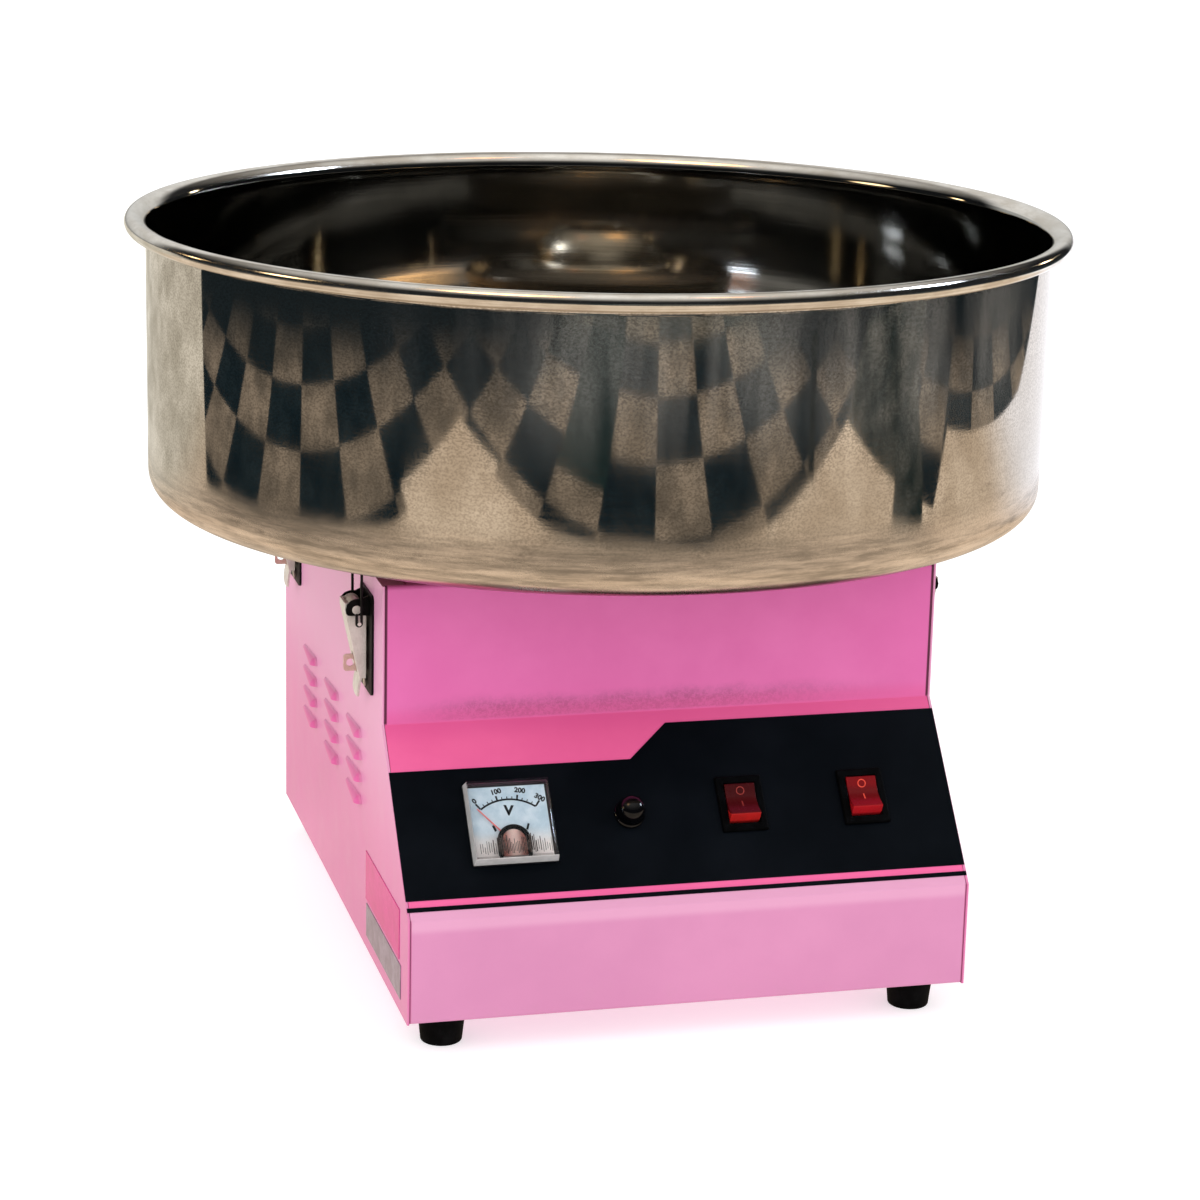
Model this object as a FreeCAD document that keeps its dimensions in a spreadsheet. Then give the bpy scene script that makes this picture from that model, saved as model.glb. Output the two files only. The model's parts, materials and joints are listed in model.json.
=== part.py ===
import FreeCAD, Part
import Sketcher
import math
import os

# Table-top candy floss machine: pressed steel cabinet with a slanted control
# panel, a direct-drive motor with a heated spinning head, and a lift-off
# stainless bowl held by four draw latches.
# Millimetres.  +X right, -Y front, +Z up.  Origin: axis of the bowl and of the
# spinning head, on the surface that the feet stand on.

V = FreeCAD.Vector
Rot = FreeCAD.Rotation
Pl = FreeCAD.Placement

doc = FreeCAD.newDocument("floss_machine")
sheet = doc.addObject("Spreadsheet::Sheet", "dims")

DIMS = [
    ("cab_w", 300.0, "cabinet width"),
    ("sheet_t", 1.2, "cabinet sheet thickness"),
    ("lip_y", 225.0, "front lip, distance forward of the bowl axis"),
    ("face_y", 153.0, "upper front face, distance forward"),
    ("back_y", 153.0, "rear face, distance behind"),
    ("foot_z", 18.0, "underside of the cabinet"),
    ("lip_z", 73.5, "top of the front lip"),
    ("kink_z", 155.5, "top of the slanted panel"),
    ("deck_z", 229.5, "top of the cabinet"),
    ("flange", 12.0, "folded flange width"),
    ("bend_r", 2.4, "outer bend radius"),
    ("bowl_wall", 248.6, "outer radius of the bowl wall"),
    ("bowl_t", 1.0, "bowl sheet thickness"),
    ("bowl_z", 241.0, "underside of the bowl"),
    ("rim_z", 396.0, "top of the rolled rim"),
    ("rim_rad", 260.0, "outer radius of the rolled rim"),
    ("bead_rad", 4.75, "radius of the rolled bead"),
    ("bowl_corner", 14.0, "outer radius of the bowl's bottom corner"),
    ("bowl_hole", 84.0, "radius of the opening in the bowl's bottom"),
    ("collar_z", 253.0, "top of the collar round that opening"),
    ("shaft_rad", 5.0, "motor shaft radius"),
    ("run_fit", 0.05, "radial running clearance"),
    ("head_rad", 74.0, "outer radius of the spinning head"),
    ("head_z", 258.0, "underside of the spinning head"),
    ("band_top", 283.5, "top of the perforated band"),
    ("mouth_rad", 19.0, "radius of the sugar mouth"),
    ("mouth_z", 312.0, "top of the sugar mouth"),
    ("stator_rad", 60.0, "stator radius"),
    ("rotor_rad", 37.0, "rotor radius"),
    ("air_gap", 1.0, "rotor to stator gap"),
    ("core_z", 125.0, "bottom of the stator stack"),
    ("core_len", 50.0, "length of the stator stack"),
    ("foot_x", 127.5, "foot centre, sideways"),
    ("foot_fy", 202.5, "front foot centre, forward"),
    ("foot_by", 130.5, "rear foot centre, behind"),
    ("foot_top", 13.0, "foot radius at the top"),
    ("foot_bot", 10.8, "foot radius at the floor"),
    ("latch_y", 113.0, "latch centre, fore and aft"),
    ("latch_w", 34.0, "latch base plate width"),
    ("latch_z0", 164.0, "bottom of the latch base plate"),
    ("latch_z1", 218.0, "top of the latch base plate"),
    ("wire_rad", 0.75, "bail wire radius"),
    ("pin_rad", 1.5, "latch pivot pin radius"),
    ("meter_w", 45.0, "voltmeter case width"),
    ("meter_x", -90.5, "voltmeter centre, sideways"),
    ("meter_up", 49.7, "voltmeter centre, up the slant"),
    ("knob_x", -27.0, "knob centre, sideways"),
    ("knob_up", 51.0, "knob centre, up the slant"),
    ("knob_rad", 8.2, "knob radius"),
    ("knob_h", 13.0, "knob height"),
    ("sw_w", 25.0, "switch bezel width"),
    ("sw_h", 31.0, "switch bezel height"),
    ("sw_left", 34.0, "heater switch centre, sideways"),
    ("sw_right", 101.0, "power switch centre, sideways"),
    ("sw_up", 53.0, "switch centres, up the slant"),
    ("film_t", 0.4, "control overlay thickness"),
    ("gland_x", -95.0, "cable gland, sideways"),
    ("gland_z", 52.0, "cable gland height"),
    ("gland_bore", 4.0, "cable gland bore radius"),
]
for i, (alias, value, note) in enumerate(DIMS):
    sheet.set("A%d" % (i + 1), note)
    sheet.set("B%d" % (i + 1), str(value))
    sheet.setAlias("B%d" % (i + 1), alias)
doc.recompute()


class Q:
    """A number together with the expression that gives it from the sheet."""

    def __init__(self, v, e):
        self.v, self.e = float(v), e

    def _b(self, o, op, swap=False):
        ov = o.v if isinstance(o, Q) else float(o)
        oe = o.e if isinstance(o, Q) else repr(float(o))
        a, b, x, y = (ov, self.v, oe, self.e) if swap else (self.v, ov, self.e, oe)
        r = a + b if op == "+" else a - b if op == "-" else a * b if op == "*" else a / b
        return Q(r, "(%s %s %s)" % (x, op, y))

    def __add__(self, o): return self._b(o, "+")
    def __radd__(self, o): return self._b(o, "+", True)
    def __sub__(self, o): return self._b(o, "-")
    def __rsub__(self, o): return self._b(o, "-", True)
    def __mul__(self, o): return self._b(o, "*")
    def __rmul__(self, o): return self._b(o, "*", True)
    def __truediv__(self, o): return self._b(o, "/")
    def __neg__(self): return Q(-self.v, "(0 - %s)" % self.e)


class Dims:
    pass


d = Dims()
for alias, value, note in DIMS:
    setattr(d, alias, Q(value, "dims." + alias))


def num(q):
    return q.v if isinstance(q, Q) else float(q)


def bind(obj, prop, q):
    if isinstance(q, Q):
        obj.setExpression(prop, q.e)


def setp(obj, prop, q):
    setattr(obj, prop, num(q))
    bind(obj, prop, q)


AX = {"z": Rot(), "x": Rot(V(0, 1, 0), 90), "y": Rot(V(1, 0, 0), -90), "-y": Rot(V(1, 0, 0), 90),
      "-x": Rot(V(0, 1, 0), -90), "-z": Rot(V(1, 0, 0), 180)}


def place(obj, x=0, y=0, z=0, rot=None):
    obj.Placement = Pl(V(num(x), num(y), num(z)), rot or Rot())
    for a, q in (("x", x), ("y", y), ("z", z)):
        bind(obj, "Placement.Base." + a, q)
    return obj


def box(name, x, y, z, lx, ly, lz):
    o = doc.addObject("Part::Box", name)
    setp(o, "Length", lx); setp(o, "Width", ly); setp(o, "Height", lz)
    return place(o, x, y, z)


def cyl(name, x, y, z, r, h, axis="z"):
    o = doc.addObject("Part::Cylinder", name)
    setp(o, "Radius", r); setp(o, "Height", h)
    return place(o, x, y, z, AX[axis])


def cone(name, x, y, z, r1, r2, h, axis="z"):
    o = doc.addObject("Part::Cone", name)
    setp(o, "Radius1", r1); setp(o, "Radius2", r2); setp(o, "Height", h)
    return place(o, x, y, z, AX[axis])


def torus(name, x, y, z, r1, r2, axis="z"):
    o = doc.addObject("Part::Torus", name)
    setp(o, "Radius1", r1); setp(o, "Radius2", r2)
    return place(o, x, y, z, AX[axis])


def prism(name, x, y, z, r, h, n=6, axis="z"):
    o = doc.addObject("Part::Prism", name)
    o.Polygon = n
    setp(o, "Circumradius", r); setp(o, "Height", h)
    return place(o, x, y, z, AX[axis])


def cut(name, a, b):
    o = doc.addObject("Part::Cut", name)
    o.Base, o.Tool = a, b
    return o


def fuse(name, objs):
    o = doc.addObject("Part::MultiFuse", name)
    o.Shapes = objs
    return o


def feature(name, shape):
    o = doc.addObject("Part::Feature", name)
    o.Shape = shape
    return o


FINAL = []


def node(obj, label):
    obj.Label = label
    FINAL.append(obj)
    return obj


# ---- PartDesign helpers -------------------------------------------------
def body(name):
    return doc.addObject("PartDesign::Body", name + "_body")


def sketch(b, role, name, offset=0):
    s = b.newObject("Sketcher::SketchObject", name)
    plane = [f for f in b.Origin.OriginFeatures if f.Role == role][0]
    s.AttachmentSupport = [(plane, "")]
    s.MapMode = "FlatFace"
    s.AttachmentOffset = Pl(V(0, 0, num(offset)), Rot())
    bind(s, "AttachmentOffset.Base.z", offset)
    return s


def _fix(s, geo, pos, a, b):
    for kind, q, axis in (("DistanceX", a, -2), ("DistanceY", b, -1)):
        if abs(num(q)) < 1e-9:
            s.addConstraint(Sketcher.Constraint("PointOnObject", geo, pos, axis))
        else:
            i = s.addConstraint(Sketcher.Constraint(kind, -1, 1, geo, pos, num(q)))
            bind(s, "Constraints[%d]" % i, q)


def poly(s, pts):
    base, n = s.GeometryCount, len(pts)
    xy = [V(num(a), num(b), 0) for a, b in pts]
    for i in range(n):
        s.addGeometry(Part.LineSegment(xy[i], xy[(i + 1) % n]), False)
    for i in range(n):
        s.addConstraint(Sketcher.Constraint("Coincident", base + i, 2, base + (i + 1) % n, 1))
    for i, (a, b) in enumerate(pts):
        _fix(s, base + i, 1, a, b)


def rect(s, x, y, lx, ly):
    poly(s, [(x, y), (x + lx, y), (x + lx, y + ly), (x, y + ly)])


def circ(s, x, y, r):
    g = s.addGeometry(Part.Circle(V(num(x), num(y), 0), V(0, 0, 1), num(r)), False)
    i = s.addConstraint(Sketcher.Constraint("Radius", g, num(r)))
    bind(s, "Constraints[%d]" % i, r)
    _fix(s, g, 3, x, y)


def pad(b, s, length, name, reverse=False):
    f = b.newObject("PartDesign::Pad", name)
    f.Profile = s
    setp(f, "Length", length)
    f.Reversed = reverse
    b.Tip = f
    doc.recompute()
    return f


def pocket(b, s, length, name):
    doc.recompute()
    before = b.Shape.Volume
    f = b.newObject("PartDesign::Pocket", name)
    f.Profile = s
    setp(f, "Length", length)
    b.Tip = f
    doc.recompute()
    if f.Shape.isNull() or not f.Shape.Volume < before - 1e-3:
        f.Reversed = True
        doc.recompute()
    if not f.Shape.Volume < before - 1e-3:
        raise RuntimeError("pocket cuts nothing: " + name)
    return f


def revolve(b, s, name):
    f = b.newObject("PartDesign::Revolution", name)
    f.Profile = s
    f.ReferenceAxis = (s, ["V_Axis"])
    f.Angle = 360.0
    b.Tip = f
    doc.recompute()
    return f


def fillet(b, edges, r, name):
    base = b.Tip
    f = b.newObject("PartDesign::Fillet", name)
    f.Base = (base, edges)
    setp(f, "Radius", r)
    b.Tip = f
    doc.recompute()
    return f


def ring_edges(shape, r, z):
    out = []
    for i, e in enumerate(shape.Edges):
        if isinstance(e.Curve, Part.Circle) and abs(e.Curve.Radius - num(r)) < 1e-3 \
                and abs(e.BoundBox.ZMin - num(z)) < 1e-3 and abs(e.BoundBox.ZMax - num(z)) < 1e-3:
            out.append("Edge%d" % (i + 1))
    return out


def long_edges(shape, y, z):
    """Edges parallel to X through (y, z)."""
    out = []
    for i, e in enumerate(shape.Edges):
        bb = e.BoundBox
        if bb.XLength > 1 and bb.YLength < 1e-4 and bb.ZLength < 1e-4 \
                and abs(bb.YMin - num(y)) < 1e-3 and abs(bb.ZMin - num(z)) < 1e-3:
            out.append("Edge%d" % (i + 1))
    return out


def polar(b, f, n, name):
    p = b.newObject("PartDesign::PolarPattern", name)
    p.Originals = [f]
    p.Axis = ([o for o in b.Origin.OriginFeatures if o.Role == "Z_Axis"][0], [""])
    p.Angle = 360.0
    p.Occurrences = n
    b.Tip = p
    doc.recompute()
    return p


# =========================================================================
# Cabinet
# =========================================================================
W = d.cab_w / 2
T = d.sheet_t

# ---- side panels: folded sheet with bonnet louvres ----------------------
LOUVRE_Y = (-70.5, -1.0, 68.5)
LOUVRE_Z = (94.0, 106.4, 118.8, 131.2)
b = body("side")
s = sketch(b, "YZ_Plane", "side_outline", -W)
poly(s, [(-d.lip_y, d.foot_z), (d.back_y, d.foot_z), (d.back_y, d.deck_z), (-d.face_y, d.deck_z),
         (-d.face_y, d.kink_z), (-d.lip_y, d.lip_z)])
pad(b, s, T, "side_sheet")
# folded flanges along the bottom, the top and the back edge
s = sketch(b, "YZ_Plane", "side_flanges", -W)
rect(s, -(d.lip_y - 3.3), d.foot_z, d.lip_y + d.back_y - 4.7, T)
rect(s, -(d.face_y - 3.3), d.deck_z - T, d.face_y + d.back_y - 4.7, T)
rect(s, d.back_y - 2 * T, d.foot_z + 3.0, T, d.deck_z - d.foot_z - 6.0)
pad(b, s, d.flange, "side_flange_fold")
# louvre slits, rivet holes and the holes of the flange screws
s = sketch(b, "YZ_Plane", "side_slits", -W - 1)
for ly in LOUVRE_Y:
    for lz in LOUVRE_Z:
        rect(s, ly - 20.9, lz, 24.0, 1.8)
for sy in (-1, 1):
    for rz in (168.5, 194.0):
        circ(s, d.latch_y * sy, rz, 1.8)
pocket(b, s, T + 1.5, "side_slit_cut")
SCREW_Y_BOTTOM = (-195.0, -60.0, 75.0, 135.0)
s = sketch(b, "XY_Plane", "side_bottom_holes", d.foot_z - 1)
for hy in SCREW_Y_BOTTOM:
    circ(s, -(W - 6.5), hy, 1.9)
pocket(b, s, T + 2, "side_bottom_hole_cut")
s = sketch(b, "XY_Plane", "side_top_holes", d.deck_z + 1)
for hy in (-75.0, 75.0):
    circ(s, -(W - 6.5), hy, 1.9)
pocket(b, s, T + 2, "side_top_hole_cut")
s = sketch(b, "XZ_Plane", "side_back_holes", -(d.back_y + 1))
for hz in (45.0, 125.0, 205.0):
    circ(s, -(W - 6.5), hz, 1.9)
pocket(b, s, 2 * T + 4, "side_back_hole_cut")

hoods = []
for ly in LOUVRE_Y:
    for lz in LOUVRE_Z:
        cx, hl, hy = -num(W) + 0.6, 18.5, ly - 3.9
        def teardrop(r, q):
            """Round-ended hood, radius r at its front end and q at its rear end."""
            k = (r - q) / (2 * hl)
            h = math.sqrt(1 - k * k)
            c = Part.makeCone(r * h, q * h, 2 * hl - (r - q) * k, V(cx, hy - hl + r * k, lz), V(0, 1, 0))
            return c.fuse([Part.makeSphere(r, V(cx, hy - hl, lz)), Part.makeSphere(q, V(cx, hy + hl, lz))])
        shell = teardrop(4.4, 1.9).cut(teardrop(3.5, 1.0))
        keep = Part.makeBox(6.85, 2 * hl + 14, 6.0, V(-num(W) - 6.4, hy - hl - 7, lz))
        hoods.append(shell.common(keep))
hood_obj = feature("louvre_hoods", Part.makeCompound(hoods))
left = fuse("left_side", [b, hood_obj])
doc.recompute()
node(left, "left_side_panel")
mir = doc.addObject("Part::Mirroring", "right_side")
mir.Source = left
mir.Normal = V(1, 0, 0)
mir.Base = V(0, 0, 0)
node(mir, "right_side_panel")

# ---- front panel: lip, slant and upright face folded from one sheet -----
SL = math.atan2(num(d.kink_z) - num(d.lip_z), num(d.lip_y) - num(d.face_y))   # slant angle
CS, SN = math.cos(SL), math.sin(SL)
TAN = math.tan(SL / 2)
b = body("front")
s = sketch(b, "YZ_Plane", "front_section", -(W - 1.5))
# inner line of the fold: the sheet is T thick measured square to each leg
in_kink_z = num(d.kink_z) - num(T) * math.tan((math.pi / 2 - SL) / 2)
in_lip_z = num(d.lip_z) - num(T) * math.tan((math.pi / 2 - SL) / 2)
poly(s, [(-(d.lip_y - 13.0), d.foot_z), (-d.lip_y, d.foot_z), (-d.lip_y, d.lip_z), (-d.face_y, d.kink_z),
         (-d.face_y, d.deck_z), (-(d.face_y - 13.0), d.deck_z), (-(d.face_y - 13.0), d.deck_z - T),
         (-(d.face_y - T), d.deck_z - T), (-(d.face_y - T), d.kink_z - (num(d.kink_z) - in_kink_z)),
         (-(d.lip_y - T), d.lip_z - (num(d.lip_z) - in_lip_z)), (-(d.lip_y - T), d.foot_z + T),
         (-(d.lip_y - 13.0), d.foot_z + T)])
pad(b, s, d.cab_w - 3.0, "front_fold")
for nm, yy, zz in (("fold_a", -d.lip_y, d.foot_z), ("fold_b", -d.lip_y, d.lip_z), ("fold_c", -d.face_y, d.deck_z)):
    fillet(b, long_edges(b.Tip.Shape, yy, zz), d.bend_r, nm)
fillet(b, long_edges(b.Tip.Shape, -(num(d.face_y) - num(T)), in_kink_z), 2.0, "fold_d")
# flange corners notched clear of the side panels' flanges
s = sketch(b, "XY_Plane", "front_notch", d.foot_z - 1)
for sx in (-1, 1):
    x0 = (W - 13.4) * sx if sx > 0 else -W
    rect(s, x0, -(d.lip_y - 3.0), 13.4, 14.0)
pocket(b, s, T + 2.2, "front_notch_cut")
s = sketch(b, "XY_Plane", "front_notch_top", d.deck_z + 1)
for sx in (-1, 1):
    x0 = (W - 13.4) * sx if sx > 0 else -W
    rect(s, x0, -(d.face_y - 3.0), 13.4, 14.0)
pocket(b, s, T + 2.2, "front_notch_top_cut")
doc.recompute()


def slant(x, up, off=0.0):
    """Placement of a part on the slanted panel: local x right, y up the slant, z outward."""
    return Pl(V(num(x), -num(d.lip_y) + num(up) * CS - off * SN, num(d.lip_z) + num(up) * SN + off * CS),
              Rot(V(1, 0, 0), math.degrees(SL)))


# openings for the instruments
holes = []
hm = cyl("meter_hole", d.meter_x, d.meter_up, -5, 19.5, 10)
hk = cyl("knob_hole", d.knob_x, d.knob_up, -5, 3.75, 10)
hs1 = box("switch_hole_a", d.sw_left - 11.1, d.sw_up - 14.0, -5, 22.2, 28.0, 10)
hs2 = box("switch_hole_b", d.sw_right - 11.1, d.sw_up - 14.0, -5, 22.2, 28.0, 10)
cutters = doc.addObject("Part::Compound", "instrument_holes")
cutters.Links = [hm, hk, hs1, hs2]
cutters.Placement = slant(0, 0)
front = cut("front_cut", b, cutters)
node(front, "front_panel")

# ---- control overlay: black film with a slanted step, and its pin stripe -
b = body("overlay")
s = sketch(b, "XY_Plane", "overlay_outline")
X0 = W - 0.25
poly(s, [(-X0, 11.2), (X0, 11.2), (X0, 101.8), (0.6, 101.8), (-21.4, 82.2), (-X0, 82.2)])
pad(b, s, d.film_t, "overlay_film")
s = sketch(b, "XY_Plane", "overlay_holes", -1)
circ(s, d.meter_x, d.meter_up, 19.5)
circ(s, d.knob_x, d.knob_up, 3.75)
rect(s, d.sw_left - 11.1, d.sw_up - 14.0, 22.2, 28.0)
rect(s, d.sw_right - 11.1, d.sw_up - 14.0, 22.2, 28.0)
pocket(b, s, 3.0, "overlay_hole_cut")
stripe = box("stripe", -X0, 5.2, 0, X0 * 2, 2.4, d.film_t)
ov = doc.addObject("Part::Compound", "overlay_set")
ov.Links = [b, stripe]
ov.Placement = slant(0, 0)
node(ov, "control_overlay")

# ---- rear panel ---------------------------------------------------------
b = body("rear")
s = sketch(b, "XZ_Plane", "rear_outline", -d.back_y)
rect(s, -(W - 1.5), d.foot_z + 0.3, d.cab_w - 3.0, d.deck_z - d.foot_z - 0.6)
pad(b, s, T, "rear_sheet")
s = sketch(b, "XZ_Plane", "rear_slots", -(d.back_y + 1))
for k in range(7):
    for sx in (-62.0, 0.0, 62.0):
        rect(s, sx - 22.0, 118.0 + 11.0 * k, 44.0, 3.6)
circ(s, d.gland_x, d.gland_z, 7.8)
for sx in (-1, 1):
    for hz in (45.0, 125.0, 205.0):
        circ(s, (W - 6.5) * sx, hz, 1.9)
pocket(b, s, T + 2, "rear_slot_cut")
if b.Shape.BoundBox.YMax > num(d.back_y) + 0.01:
    raise RuntimeError("rear panel stands outside the cabinet")
node(b, "rear_panel")

# ---- bottom plate -------------------------------------------------------
b = body("bottom")
s = sketch(b, "XY_Plane", "bottom_outline", d.foot_z + T)
rect(s, -(W - 1.6), -(d.lip_y - 1.8), d.cab_w - 3.2, d.lip_y + d.back_y - 4.4)
pad(b, s, T, "bottom_sheet")
s = sketch(b, "XY_Plane", "bottom_holes", d.foot_z + T - 1)
for k in range(9):
    rect(s, -40.0, -44.0 + 11.0 * k, 80.0, 4.0)
for sx in (-1, 1):
    for hy in SCREW_Y_BOTTOM:
        circ(s, (W - 6.5) * sx, hy, 1.9)
    circ(s, d.foot_x * sx, -d.foot_fy, 2.3)
    circ(s, d.foot_x * sx, d.foot_by, 2.3)
pocket(b, s, T + 2, "bottom_hole_cut")
node(b, "bottom_plate")

# ---- top deck with the drawn locating ring for the bowl -----------------
b = body("deck")
DZ = d.deck_z - T * 2
s = sketch(b, "XY_Plane", "deck_outline", DZ)
rect(s, -(W - 1.6), -(d.face_y - 1.8), d.cab_w - 3.2, d.face_y + d.back_y - 4.4)
pad(b, s, T, "deck_sheet")
s = sketch(b, "XY_Plane", "deck_ring", DZ)
circ(s, 0, 0, 80.0)
circ(s, 0, 0, 78.6)
pad(b, s, 19.0, "deck_ring_pad")
s = sketch(b, "XY_Plane", "deck_holes", DZ - 1)
circ(s, 0, 0, 13.0)
for sx in (-1, 1):
    for sy in (-1, 1):
        circ(s, 52.0 * sx, 52.0 * sy, 3.2)
    for hy in (-75.0, 75.0):
        circ(s, (W - 6.5) * sx, hy, 1.9)
pocket(b, s, T + 2, "deck_hole_cut")
node(b, "top_deck")

# ---- rubber pads that the bowl sits on ----------------------------------
pads = []
for i, (px, py) in enumerate(((95, 95), (-95, 95), (-95, -95), (95, -95))):
    pads.append(cyl("pad_%d" % i, px, py, d.deck_z - T, 9.0, d.bowl_z - d.deck_z + T))
c = doc.addObject("Part::Compound", "pads")
c.Links = pads
node(c, "bowl_support_pads")

# ---- feet ---------------------------------------------------------------
feet = []
FEET = [(-1, -1), (1, -1), (-1, 1), (1, 1)]
for i, (sx, sy) in enumerate(FEET):
    fx = d.foot_x * sx
    fy = -d.foot_fy if sy < 0 else d.foot_by
    cone_ = cone("foot_cone_%d" % i, fx, fy, 0, d.foot_bot, d.foot_top, d.foot_z)
    boss_ = cyl("foot_boss_%d" % i, fx, fy, d.foot_z - 1.0, 8.0, T + 1.0)
    body_ = fuse("foot_body_%d" % i, [cone_, boss_])
    well = cyl("foot_well_%d" % i, fx, fy, -1, 5.6, 10.0)
    hole = cyl("foot_hole_%d" % i, fx, fy, 5, 2.3, 20.0)
    tools = fuse("foot_tools_%d" % i, [well, hole])
    feet.append(cut("foot_%d" % i, body_, tools))
doc.recompute()
c = doc.addObject("Part::Compound", "feet")
c.Links = feet
node(c, "rubber_feet")


# =========================================================================
# Fasteners (each node is one group of equal screws)
# =========================================================================
def pan_screw(p, direction, r, length, head_r, head_h, nut=0.0, grip=0.0):
    """Pan-head screw: p is on the seat face, direction points from head to tip."""
    dv = V(*direction)
    sh = Part.makeCylinder(r, length, p, dv)
    hd = Part.makeCylinder(head_r, head_h, p - dv * head_h, dv)
    hd = hd.makeFillet(head_h * 0.55, [e for e in hd.Edges if isinstance(e.Curve, Part.Circle)
                                       and (e.CenterOfMass - (p - dv * head_h)).Length < 0.01])
    a = dv.cross(V(0, 0, 1)) if abs(dv.z) < 0.9 else V(1, 0, 0)
    bvec = dv.cross(a)
    rec = None
    for u, w in ((a, bvec), (bvec, a)):
        q = p - dv * (head_h + 0.2)
        pts = [q + u * (head_r * 0.6) + w * 0.4, q - u * (head_r * 0.6) + w * 0.4,
               q - u * (head_r * 0.6) - w * 0.4, q + u * (head_r * 0.6) - w * 0.4]
        f = Part.Face(Part.makePolygon(pts + [pts[0]]))
        k = f.extrude(dv * (head_h * 0.55 + 0.2))
        rec = k if rec is None else rec.fuse(k)
    out = sh.fuse(hd).cut(rec)
    return out.removeSplitter()


WN, ZB, ZT = num(W), num(d.foot_z), num(d.deck_z)
screws = []
for sx in (-1, 1):
    for hy in SCREW_Y_BOTTOM:
        screws.append(pan_screw(V((WN - 6.5) * sx, hy, ZB), (0, 0, 1), 1.7, 8.0, 3.6, 2.2))
    for hy in (-75.0, 75.0):
        screws.append(pan_screw(V((WN - 6.5) * sx, hy, ZT), (0, 0, -1), 1.7, 8.0, 3.6, 2.2))
    for hz in (45.0, 125.0, 205.0):
        screws.append(pan_screw(V((WN - 6.5) * sx, num(d.back_y), hz), (0, -1, 0), 1.7, 8.0, 3.6, 2.2))
node(feature("screws", Part.makeCompound(screws)), "panel_screws")

fs = []
for sx, sy in FEET:
    p = V(num(d.foot_x) * sx, -num(d.foot_fy) if sy < 0 else num(d.foot_by), 9.0)
    scr = pan_screw(p, (0, 0, 1), 2.1, 17.0, 4.6, 3.0)
    pts = [p + V(4.0 * math.cos(k * math.pi / 3), 4.0 * math.sin(k * math.pi / 3), num(d.foot_z) + 2 * num(T) - 9.0)
           for k in range(6)]
    nut = Part.Face(Part.makePolygon(pts + [pts[0]])).extrude(V(0, 0, 3.2))
    nut = nut.cut(Part.makeCylinder(2.14, 10, V(p.x, p.y, 18)))
    fs += [scr, nut]
node(feature("foot_fixings", Part.makeCompound(fs)), "foot_screws_and_nuts")

# ---- blank plates on the left side --------------------------------------
lp1 = box("plate_a", -W - 0.4, -204.0, 46.0, 0.4, 92.0, 27.0)
lp2 = box("plate_b", -W - 0.4, -208.0, 25.5, 0.4, 94.0, 18.5)
c = doc.addObject("Part::Compound", "plates")
c.Links = [lp1, lp2]
node(c, "blank_side_plates")

# ---- cable gland --------------------------------------------------------
GX, GZ, BY = d.gland_x, d.gland_z, d.back_y
g1 = prism("gland_hex", GX, BY, GZ, 12.0, 5.0, 6, "y")
g2 = cyl("gland_dome", GX, BY + 5.0, GZ, 10.2, 8.0, "y")
g3 = cone("gland_nose", GX, BY + 13.0, GZ, 10.2, 6.6, 6.0, "y")
g4 = cyl("gland_neck", GX, BY - 10.0, GZ, 7.5, 10.0, "y")
gf = fuse("gland_solid", [g1, g2, g3, g4])
gb = cyl("gland_bore_cut", GX, BY - 12.0, GZ, d.gland_bore, 34.0, "y")
gland = cut("gland", gf, gb)
n1 = prism("locknut_hex", GX, BY - T - 5.0, GZ, 12.0, 5.0, 6, "y")
n2 = cyl("locknut_bore", GX, BY - T - 6.0, GZ, 7.6, 8.0, "y")
c = doc.addObject("Part::Compound", "gland_set")
c.Links = [gland, cut("locknut", n1, n2)]
node(c, "cable_gland")

# =========================================================================
# Draw latches
# =========================================================================
A_X, A_Z = -157.8, 209.5      # lever pivot
B_X, B_Z = -157.2, 203.0      # bail pivot on the lever, just past centre
EYE = 1.3                     # centre-line radius of the eye at the foot of each bail leg
B_Y = 13.2                    # half spacing of the bail's legs
K_X, K_Z = B_X + EYE, 236.0   # bail's bar over the catch
PR, WR = num(d.pin_rad), num(d.wire_rad)


def extr(pts, y0, y1):
    """Prism of an XZ outline between two y planes."""
    q = [V(x, y0, z) for x, z in pts]
    return Part.Face(Part.makePolygon(q + [q[0]])).extrude(V(0, y1 - y0, 0))


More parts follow.
